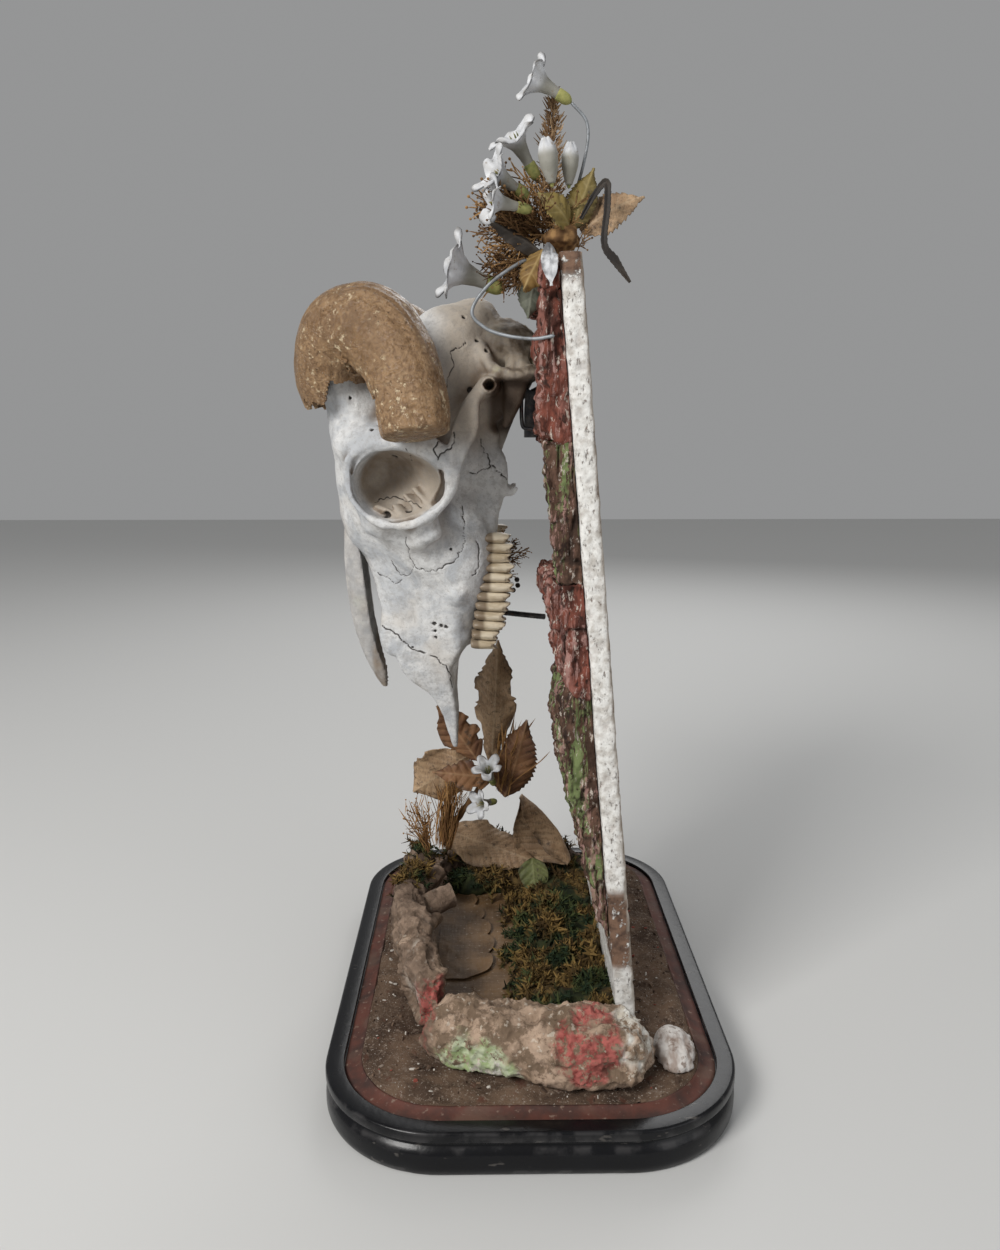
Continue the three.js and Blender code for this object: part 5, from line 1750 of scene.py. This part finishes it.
ragged_x += 5 * cloud(columns(along_y, 0 * along_y, 0 * along_y), 16, 2)
strays = columns(ragged_x, along_y, np.full(STRAY_STEMS, 27.2)) * MM
places = np.concatenate([places, np.array(landed), strays])
on_walls = np.array(facing) + spin.normal(0, 0.6, (len(landed), 3))
aims = np.concatenate([aims, on_walls, spin.normal(0, 0.9, (STRAY_STEMS, 3)) + (0, 0, 1)])
sizes = spin.uniform(0.5, 1.25, len(places)) + 0.75 * ramp(cloud(places, 14 * MM, 6), -0.1, 0.6)
moss = planted(moss_stem, places, aims, sizes, spin, "moss")
finish = Finish("Moss", roughness=0.95, specular=0.15)
patches = finish.spots(0.44, 0.54, 48, 3)
tone = finish.stored("tone")
green = finish.mix(finish.mask(tone, 0.2, 0.8), (0.020, 0.034, 0.018), (0.060, 0.075, 0.028))
yellow = finish.mix(finish.mask(tone, 0.2, 0.8), (0.060, 0.037, 0.015), (0.22, 0.14, 0.048))
finish.base(patches, green, yellow)
finish.coat(finish.mask(finish.stored("height"), 0.5, 0.0, 0.7), (0.022, 0.018, 0.012))
moss_finish = finish.done()
finished(moss, "moss_stems", moss_finish)
paint(bank, "tone", 0.5 + 0.5 * cloud(points(bank), 3 * MM, 2))
paint(bank, "height", np.full(len(points(bank)), 0.2))
finished(smooth(bank), "moss_bank_base", moss_finish, ("moss_bank",))

# %% [markdown]
# ## Leaves
# The leaves are cloth and real leaves, dried brown. Each is a fine grid laid from its root to its
# tip and narrowed to a leaf's outline, with teeth on its edge. Veins run out from a midrib and
# stand slightly proud, and the blade is bent, cupped and wrinkled before it gets its thickness.


# %% Leaf shape
def leaf(
    root, tip, width, normal=(0, -1, 0), bow=0, cup=0, fullness=0.8, teeth=0, curl=1.5, seed=1, fold=None,
    ragged=0.0,
):
    start, along = np.array(root, float) * MM, (np.array(tip, float) - root) * MM
    length = np.linalg.norm(along)
    along = along / length
    out = np.array(normal, float)
    out = out - along * (out @ along)
    out /= np.linalg.norm(out)
    across = np.cross(out, along)
    painted = {}

    def place(u, v):
        s = 2 * u - 1
        v = 0.012 + 0.988 * v
        half = width / 2 * MM * np.maximum(np.sin(np.pi * v**fullness), 0) ** 0.85
        half = np.maximum(half * (1 - 0.45 * ramp(v, 0.72, 1)), 0.5 * MM)
        if teeth:
            saw = (v * teeth + 0.25 * np.abs(s)) % 1
            half = half * (1 - 0.16 * saw * np.abs(s) ** 3)
        edge_place = columns(6 * v, np.sign(s), 0 * v)
        half = half * (1 + 0.07 * cloud(edge_place, 1, seed))
        half = half * (
            1
            - ragged * ramp(
                cloud(edge_place * (1.3, 1, 1), 1, seed + 2) + 0.3 * cloud(edge_place * 7, 1, seed), -0.1,
                0.5,
            )
        )
        step = 5.2 * MM
        phase = (v * length - 0.75 * np.abs(s) * half) / step
        side_vein = np.exp(-(((phase % 1) - 0.5) * step / (0.42 * MM)) ** 2) * ramp(half, 1.5 * MM, 4 * MM)
        midrib = np.exp(-((s * half / (0.55 * MM)) ** 2))
        painted["vein"] = np.clip(midrib + 0.75 * side_vein, 0, 1)
        painted["edge"] = ramp(np.abs(s), 0.7, 1.0)
        flat = columns(s * half, v * length, 0 * s)
        wave = curl * MM * cloud(flat, 11 * MM, seed) * np.abs(s) ** 1.5
        wave += 0.45 * MM * rough(
            flat, 6 * MM, seed + 1
        ) + 0.35 * MM * np.cos(2 * np.pi * phase) * np.abs(s) ** 0.7
        lift = bow * MM * 4 * v * (1 - v) - cup * MM * s * s + wave + 0.3 * MM * midrib
        if fold is not None:
            over = np.clip(fold - s, 0, None)
            s = np.where(s < fold, fold + 0.8 * over, s)
            lift = lift + 3.6 * MM * np.sqrt(np.clip(over / 0.2, 0, 1)) + 0.8 * MM * over
        return start + along * (v * length)[:, None] + across * (s * half)[:, None] + out * lift[:, None]

    made = sheet(36, 72, place)
    for key, values in painted.items():
        paint(made, key, values)
    shape(made, "SOLIDIFY", thickness=0.5 * MM, offset=0)
    weld(made, 0.004 * MM)
    return smooth(made)


def leaf_finish(name, light, dark, vein, spots=(0.05, 0.035, 0.025), cloth=0.0, shine=0.62):
    finish = Finish(name, roughness=shine, specular=0.3)
    finish.ground(light, dark, 0.36, 0.66, 60, 5)
    finish.fleck(spots, 0.56, 0.66, 210, 5, top=0.75, rough=0.7)
    finish.coat(finish.times(finish.stored("vein"), 0.6), vein)
    worn = finish.times(finish.stored("edge"), finish.spots(0.4, 0.6, 120, 4))
    finish.coat(finish.times(worn, 0.6), spots)
    if cloth:
        first = finish.noise(1500, 1, finish.stretched(1, 0.04, 0.3, (0, 0, 0.5)))
        second = finish.noise(1500, 1, finish.stretched(0.04, 1, 0.3, (0, 0, 0.5)))
        weave = finish.times(first, second)
        finish.coat(finish.mask(weave, 0.24, 0.32, cloth), (0.055, 0.04, 0.028))
        finish.bump(weave, 0.0003, 0.7)
    finish.bump(finish.noise(500, 4), 0.0003, 0.5)
    return finish.done()


LEAF_FINISHES = {
    "tan": leaf_finish("Leaf_tan", (0.40, 0.27, 0.16), (0.26, 0.165, 0.095), (0.46, 0.34, 0.22), cloth=0.3),
    "brown": leaf_finish("Leaf_brown", (0.22, 0.11, 0.052), (0.10, 0.045, 0.026), (0.32, 0.19, 0.10)),
    "olive": leaf_finish("Leaf_olive", (0.25, 0.185, 0.055), (0.13, 0.10, 0.035), (0.33, 0.26, 0.11)),
    "dark": leaf_finish("Leaf_dark", (0.058, 0.048, 0.040), (0.030, 0.026, 0.024), (0.10, 0.085, 0.07)),
    "green": leaf_finish(
        "Leaf_green", (0.13, 0.145, 0.05), (0.065, 0.08, 0.03), (0.22, 0.23, 0.10), cloth=0.25
    ),
    "grey": leaf_finish("Leaf_greygreen", (0.17, 0.18, 0.14), (0.09, 0.10, 0.075), (0.26, 0.27, 0.21)),
    "gold": leaf_finish("Leaf_gold", (0.34, 0.21, 0.06), (0.18, 0.105, 0.035), (0.42, 0.30, 0.13)),
}

# %% All the leaves, from root to tip
LEAVES = [  # node, look, root, tip, width, normal, and how it bends
    ("top_leaf_olive", "olive", (16, -67, 411), (2, -74, 424), 17, (0.3, -1, 0.5), dict(bow=3, teeth=11)),
    ("top_leaf_upright", "olive", (18, -64, 411), (27, -66, 436), 14, (0, -1, 0), dict(cup=2, teeth=15)),
    ("top_leaf_broad", "tan", (22, -60, 410), (50, -62, 425), 20, (0.1, -0.8, 0.6), dict(bow=3, teeth=13)),
    ("top_leaf_yellow", "gold", (5, -67, 402), (-4, -74, 384), 15, (-0.3, -1, 0.3), dict(cup=2, teeth=11)),
    ("top_leaf_dark", "dark", (4, -66, 401), (-18, -70, 413), 8, (0.4, -1, 0.4), dict(cup=2)),
    ("top_leaf_grey", "grey", (2, -52, 396), (-1, -50, 374), 14, (0, -1, 0), dict(cup=1.5, teeth=9)),
    (
        "low_leaf_strip", "tan", (-18, 40, 122), (-14, 30, 203), 25, (0, -1, 0),
        dict(bow=6, cup=4, curl=7, ragged=0.25, fullness=1.25),
    ),
    (
        "low_leaf_tip", "brown", (-26, 36, 128), (-50, 30, 164), 24, (0, -1, 0),
        dict(bow=-2, cup=3, curl=4, ragged=0.3),
    ),
    (
        "low_leaf_triangle", "tan", (-30, 52, 128), (-66, 48, 104), 36, (0, -1, 0),
        dict(fullness=1.3, curl=3, ragged=0.15),
    ),
    (
        "low_leaf_brown", "brown", (-17, 34, 118), (-53, 28, 124), 18, (0, -1, 0.4),
        dict(bow=3, curl=3.5, ragged=0.3),
    ),
    (
        "low_leaf_red", "brown", (-10, 38, 104), (3, 32, 154), 28, (0, -1, 0),
        dict(bow=3, cup=2, teeth=17, curl=4),
    ),
    (
        "low_leaf_large", "tan", (-52, 88, 63), (14, 72, 45), 31, (0, -0.7, 0.7),
        dict(bow=2, cup=2, curl=2, ragged=0.1),
    ),
    (
        "low_leaf_folded", "tan", (34, 76, 46), (2, 86, 88), 46, (-0.3, -1, 0.2),
        dict(cup=-5, curl=2, fold=-0.25, fullness=0.95),
    ),
    ("low_leaf_green", "green", (8, 62, 54), (10, 52, 33), 19, (0, -1, 0.3), dict(curl=1)),
]
for number, (node, look, root, tip, width, normal, bends) in enumerate(LEAVES):
    blade_made = leaf(root, tip, width, normal, seed=number, **bends)
    finished(blade_made, node + "_blade", LEAF_FINISHES[look], (node,))

HANGING = [
    (21, -70, 414, 0.8), (27, -73, 424, 1.3), (31.5, -75, 428, 1.6), (32, -75, 418, 1.5),
    (31, -75, 403, 1.5), (36, -74, 396, 1.9), (43, -73, 387, 0.5),
]


def hanging_place(u, v):
    middle, direction, (half,) = along_curve(mm(HANGING), v)
    across = np.cross(direction, (0.25, 1, 0.1))
    across /= np.linalg.norm(across, axis=1)[:, None]
    s = 2 * u - 1
    saw = (v * 26) % 1
    wide = half * (1 - 0.2 * saw * np.abs(s) ** 2)
    lift = 0.8 * MM * np.abs(s) - 0.5 * MM * cloud(middle, 6 * MM, 3) * s
    return middle + across * (s * wide)[:, None] + np.array((0, -1, 0)) * lift[:, None]


hanging = sheet(12, 110, hanging_place)
shape(hanging, "SOLIDIFY", thickness=0.5 * MM, offset=0)
finished(
    smooth(weld(hanging, 0.004 * MM)), "leaf_hanging", LEAF_FINISHES["dark"],
    ("top_leaf_hanging",),
)

# %% [markdown]
# ## Cloth flowers
# Old millinery flowers: a trumpet cut from stiff cotton with five petals whose edges have gone
# grey. One grid is rolled round the axis and flared, and the petals are the waves of its rim.


# %% Flower shape
def flower(foot, mouth, radius, seed, depth=0.42, petals=5):
    start = np.array(foot, float) * MM
    axis = (np.array(mouth, float) - foot) * MM
    length = np.linalg.norm(axis)
    axis /= length
    side = np.cross(axis, (0.2, 0.3, 1))
    side /= np.linalg.norm(side)
    other = np.cross(axis, side)
    stored = {}
    out_at = [0, 0.16, 0.3, 0.45, 0.62, 0.8, 1.0]
    reach = [0.12, 0.18, 0.23, 0.32, 0.55, 0.88, 1.15]
    if radius < 5:  # a bud that hasn't opened
        reach = [0.3, 0.62, 0.85, 0.9, 0.72, 0.38, 0.02]
    rise = [0, 0.22, 0.45, 0.66, 0.84, 0.97, 1.0]

    def place(u, v):
        angle = 2 * np.pi * u
        wave = 0.5 - 0.5 * np.cos(petals * angle)
        between = 1 - wave
        flare = ramp(v, 0.45, 1)
        away = np.interp(v, out_at, reach) * (1 - depth * flare * between**2)
        up = np.interp(v, out_at, rise)
        ring = columns(np.cos(angle), np.sin(angle), 2 * v)
        away = away * (1 + 0.10 * flare * cloud(ring, 0.9, seed))
        curled = (0.16 * cloud(ring * (1, 1, 0.2), 0.8, seed + 1) - 0.12 * between) * (radius > 5)
        up = up + flare * (curled - 0.06 * ramp(v, 0.85, 1) * wave)
        rib = np.exp(-(((u * petals) % 1 - 0.5) * 9) ** 2)
        stored["edge"] = ramp(v, 0.86, 1.0)
        stored["throat"] = ramp(v, 0.62, 0.4)
        stored["rib"] = rib * ramp(v, 0.3, 0.5)
        up = up + 0.03 * rib * flare
        co = start + axis * (up * length)[:, None]
        return co + (
            side * np.cos(angle)[:, None] + other * np.sin(angle)[:, None]
        ) * (away * radius * MM)[:, None]

    made = sheet(60, 30, place)
    for key, values in stored.items():
        paint(made, key, values)
    weld(made, 0.004 * MM)
    shape(made, "SOLIDIFY", thickness=0.5 * MM, offset=0)
    return smooth(weld(made, 0.003 * MM))


finish = Finish("Petal_cloth", roughness=0.8, specular=0.25)
finish.ground((0.66, 0.67, 0.69), (0.40, 0.41, 0.43), 0.4, 0.68, 120, 5)
grimy = finish.times(finish.stored("edge"), finish.spots(0.34, 0.56, 160, 5))
finish.coat(grimy, (0.13, 0.13, 0.135))
finish.coat(finish.times(finish.stored("throat"), 0.75), (0.20, 0.185, 0.13))
finish.coat(finish.times(finish.stored("rib"), 0.35), (0.40, 0.38, 0.35))
finish.fleck((0.25, 0.19, 0.14), 0.62, 0.7, 420, 5, top=0.6)
finish.bump(finish.noise(700, 3), 0.0002, 0.5)
petal_finish = finish.done()

FLOWERS = [
    ("flower_high", (15.5, -62, 464.5), (-1, -64, 473.5), 10),
    ("flower_upper", (2, -58, 434), (-10, -64, 452), 10.5),
    ("flower_middle", (-3, -68, 424), (-19, -76, 433), 10),
    ("flower_low", (-2, -74, 417), (-20, -80, 420), 9),
    ("flower_bud_front", (8, -73, 428), (5, -75, 446), 4.5),
    ("flower_bud_back", (16, -66, 429), (16.5, -68, 446), 4),
    ("flower_side", (-14, -52, 387), (-38, -58, 396), 14.5),
    ("low_flower_upper", (-17, 30, 116), (-21, 20, 131), 8),
    ("low_flower_lower", (-16, 32, 104), (-27, 22, 106), 8),
]
calyxes, stamens = [], []
for number, (node, foot, mouth, radius) in enumerate(FLOWERS):
    finished(flower(foot, mouth, radius, number), node + "_cloth", petal_finish, (node,))
    start, end = np.array(foot, float), np.array(mouth, float)
    back = start - 0.10 * (end - start)
    rows = [
        (*(back + t * (end - start)), w, w)
        for t, w in ((0, 0.7), (0.14, 0.24 * radius), (0.42, 0.27 * radius))
    ]
    calyxes.append(tube(mm(rows), 10, 12, ends=0.12))
    for k in range(5):
        turn = 2 * math.pi * k / 5
        lean = np.array(
            (
                0.12 * radius * math.cos(turn), 0.12 * radius * math.sin(turn),
                0.1 * radius * math.sin(turn + 1),
            )
        )
        rows = [
            (*(start + t * (end - start) + lean * t * 1.4), w, w)
            for t, w in ((0.5, 0.25), (0.8, 0.25), (0.92, 0.55))
        ]
        stamens.append(tube(mm(rows), 5, 6, ends=0.1))
calyx = joined(calyxes)
finish = Finish("Calyx_green", roughness=0.75)
finish.ground((0.34, 0.33, 0.11), (0.17, 0.19, 0.06), 0.4, 0.62, 180, 4)
finished(smooth(calyx), "flower_calyxes", finish.done())
finish = Finish("Stamen", roughness=0.8)
finish.ground((0.14, 0.15, 0.05), (0.28, 0.22, 0.09), 0.4, 0.6, 200, 3)
finished(smooth(joined(stamens)), "flower_stamens", finish.done())

hanging_petal = leaf((6, -84, 402), (7.5, -86, 384), 7, curl=1.5, seed=21)
paint(hanging_petal, "edge", np.ones(len(points(hanging_petal))))
finished(hanging_petal, "petal_hanging_cloth", petal_finish, ("petal_hanging",))
HIGH_STEM = [(16.6, -62, 464), (24, -62, 455), (23, -62, 440), (15.5, -60, 414)]
wire_piece("flower_high_wire", "flower_high_stem", HIGH_STEM, 0.7, 60, wire, (0, 1, 0))

# %% [markdown]
# ## Dry stalks and sprays
# Everything fine and dry is built from small sprigs: a crooked stalk with side twigs and seed
# heads. A sprig is modelled once and planted in a fan. The knot that binds the bunch is a wad
# of the same dry stuff.


# %% Sprigs
def stalk(length, thick, bend, seed, sides=4, steps=7):
    rows = []
    for k in range(5):
        t = k / 4
        sway = bend * length * t * t + 0.03 * length * math.sin(5 * t + seed)
        rows.append(
            (
                sway * MM, 0.03 * length * math.cos(4 * t + seed) * MM, length * t * MM, thick * MM,
                thick * (1 - 0.4 * t) * MM,
            )
        )
    return tube(rows, sides, steps, wide=(0.3, 1, 0), ends=0.04)


def bead(place, size, sides=5):
    deselect()
    bpy.ops.mesh.primitive_uv_sphere_add(
        segments=sides, ring_count=4, radius=size * MM, location=[n * MM for n in place]
    )
    return settle(bpy.context.object)


def sprig(length, twigs, seed, thick):
    """A stalk with twigs along its upper part, each ending in a small seed head."""
    parts = [stalk(length, thick, 0.05, seed)]
    rng = np.random.default_rng(seed)
    for k in range(twigs):
        foot = length * (0.25 + 0.7 * k / twigs)
        reach = length * rng.uniform(0.14, 0.3)
        twig = stalk(reach, 0.22, 0.1, seed + k, 3, 3)
        twig.rotation_euler = (rng.uniform(0.4, 0.9), 0, 2.4 * k)
        twig.location = (0.05 * length * (foot / length) ** 2 * MM, 0, foot * MM)
        parts.append(settle(twig))
        tip = points(parts[-1])[np.argmax(points(parts[-1])[:, 2])] / MM
        parts.append(bead(tip, rng.uniform(0.22, 0.42)))
    return joined(parts)


def fan(template, root, axis, spread, count, low, high, seed, name, scatter=1.5):
    """Plants a template in a cone round an axis."""
    spin = np.random.default_rng(seed)
    main = np.array(axis, float) / np.linalg.norm(axis)
    aims = main + spin.normal(0, spread * 0.6, (count, 3))
    places = (np.array(root, float) + spin.normal(0, scatter, (count, 3))) * MM
    return planted(template, places, aims, spin.uniform(low, high, count), spin, name)


def dry_finish(name, light, dark):
    finish = Finish(name, roughness=0.9, specular=0.2)
    finish.base(finish.mask(finish.stored("tone"), 0.1, 0.9), dark, light)
    finish.fleck(dark, 0.5, 0.65, 300, 3, top=0.5)
    return finish.done()


hay = dry_finish("Dry_grass", (0.38, 0.21, 0.08), (0.17, 0.085, 0.035))
seedy = dry_finish("Dry_sprig", (0.36, 0.21, 0.09), (0.10, 0.052, 0.024))
plume_brown = dry_finish("Dry_plume", (0.44, 0.30, 0.17), (0.22, 0.13, 0.07))

left = fan(sprig(15, 11, 3, 0.2), (4, -58, 410), (-0.8, 0.1, 0.5), 0.75, 110, 0.8, 2.1, 11, "spray_left", 4)
finished(left, "spray_left_dry", seedy, ("top_spray_left",))
low = fan(
    sprig(13, 10, 5, 0.2), (1, -53, 399), (-0.95, 0.15, -0.15), 0.6, 60, 0.8, 1.9, 12, "spray_low", 3.5
)
finished(low, "spray_low_dry", seedy, ("top_spray_low",))
more = fan(sprig(11, 9, 8, 0.2), (10, -56, 410), (0, 0.3, 1), 0.8, 40, 0.8, 1.6, 13, "spray_middle", 4)
finished(more, "spray_middle_dry", seedy)

# %% Plume
spin = np.random.default_rng(8)
PLUME = [
    (8, -56, 412, 0.8), (8.3, -55.4, 424, 4.6), (8.6, -55, 438, 7), (9.2, -54.4, 454, 5.2),
    (9.8, -54, 470, 1.2),
]
COUNT = 760
middle, direction, (half,) = along_curve(mm(PLUME), spin.uniform(0, 1, COUNT))
away = spin.normal(0, 1, (COUNT, 3))
away /= np.linalg.norm(away, axis=1)[:, None]
places = middle + away * (half * spin.uniform(0.1, 0.95, COUNT))[:, None]
seed_head = blade(3.4, 1.0, 0, 0, 0, 0.6)
plume = planted(seed_head, places, direction + 0.9 * away, spin.uniform(0.7, 1.3, COUNT), spin, "plume")
rib = tube(mm([(*row[:3], 0.6, 0.6) for row in PLUME]), 6, 20)
paint(rib, "tone", np.full(len(points(rib)), 0.2))
finished(joined([rib, plume]), "plume_dry", plume_brown, ("top_plume",))

# %% Knot that binds the top bunch
knot = rough_copy("top_knot", 0.8 * MM, 1.6 * MM, 5 * MM, 4)
paint(knot, "tone", 0.5 + 0.5 * cloud(points(knot), 2 * MM, 1))
finished(smooth(knot), "knot_dry", seedy, ("top_knot",))

# %% Grass and stalk under the nose
tuft = fan(stalk(26, 0.2, 0.12, 2, 3, 8), (-47, 44, 72), (0.1, 0, 1), 0.17, 170, 0.8, 1.75, 14, "tuft", 2.2)
finished(tuft, "grass_tuft", hay, ("low_grass_tuft",))
thin = fan(sprig(24, 6, 9, 0.24), (-58, 50, 64), (-0.25, 0, 1), 0.26, 16, 0.9, 1.65, 15, "thin", 1.4)
finished(thin, "grass_stalks", hay, ("low_grass_stalks",))
strands = fan(
    stalk(26, 0.26, 0.14, 4, 4, 8), (-12, 36, 112), (0.25, -0.1, 1), 0.2, 46, 0.8, 1.7, 16, "strands", 3
)
finished(strands, "grass_strands_behind_leaf", hay)
STALK = [(-46, 62, 60, 2.4, 2.2), (-40, 50, 84, 2.0, 2.0), (-24, 42, 110, 2.2, 2.0)]
stem = tube(mm(STALK), 14, 50, surface=lambda u, v: 1 + 0.12 * np.sin(40 * v + 6.28 * u))
paint(stem, "tone", np.full(len(points(stem)), 0.3))
finished(smooth(stem), "stalk_low", seedy, ("low_stalk",))

# %% Twigs and dark berries caught behind the teeth
caught = fan(sprig(9, 8, 21, 0.2), (-14, 18, 252), (0.75, 0, 0.45), 0.7, 16, 0.9, 1.7, 17, "caught", 2.5)
finished(caught, "twigs_behind_teeth", seedy)
berries = joined([bead(place, 1.5, 10) for place in ((-4, 8, 242), (-3.5, 10, 238.5), (-6, 9, 236))])
finished(smooth(berries), "berries_dark", LEAF_FINISHES["dark"])

# %% The sizes of the CAD model and of the finished scene
visual_low, visual_high = (list(corner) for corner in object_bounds())
print("Visual box", [round(v, 3) for v in visual_low], [round(v, 3) for v in visual_high])
sizes = {"cad": [cad_low, cad_high], "visual": [visual_low, visual_high]}
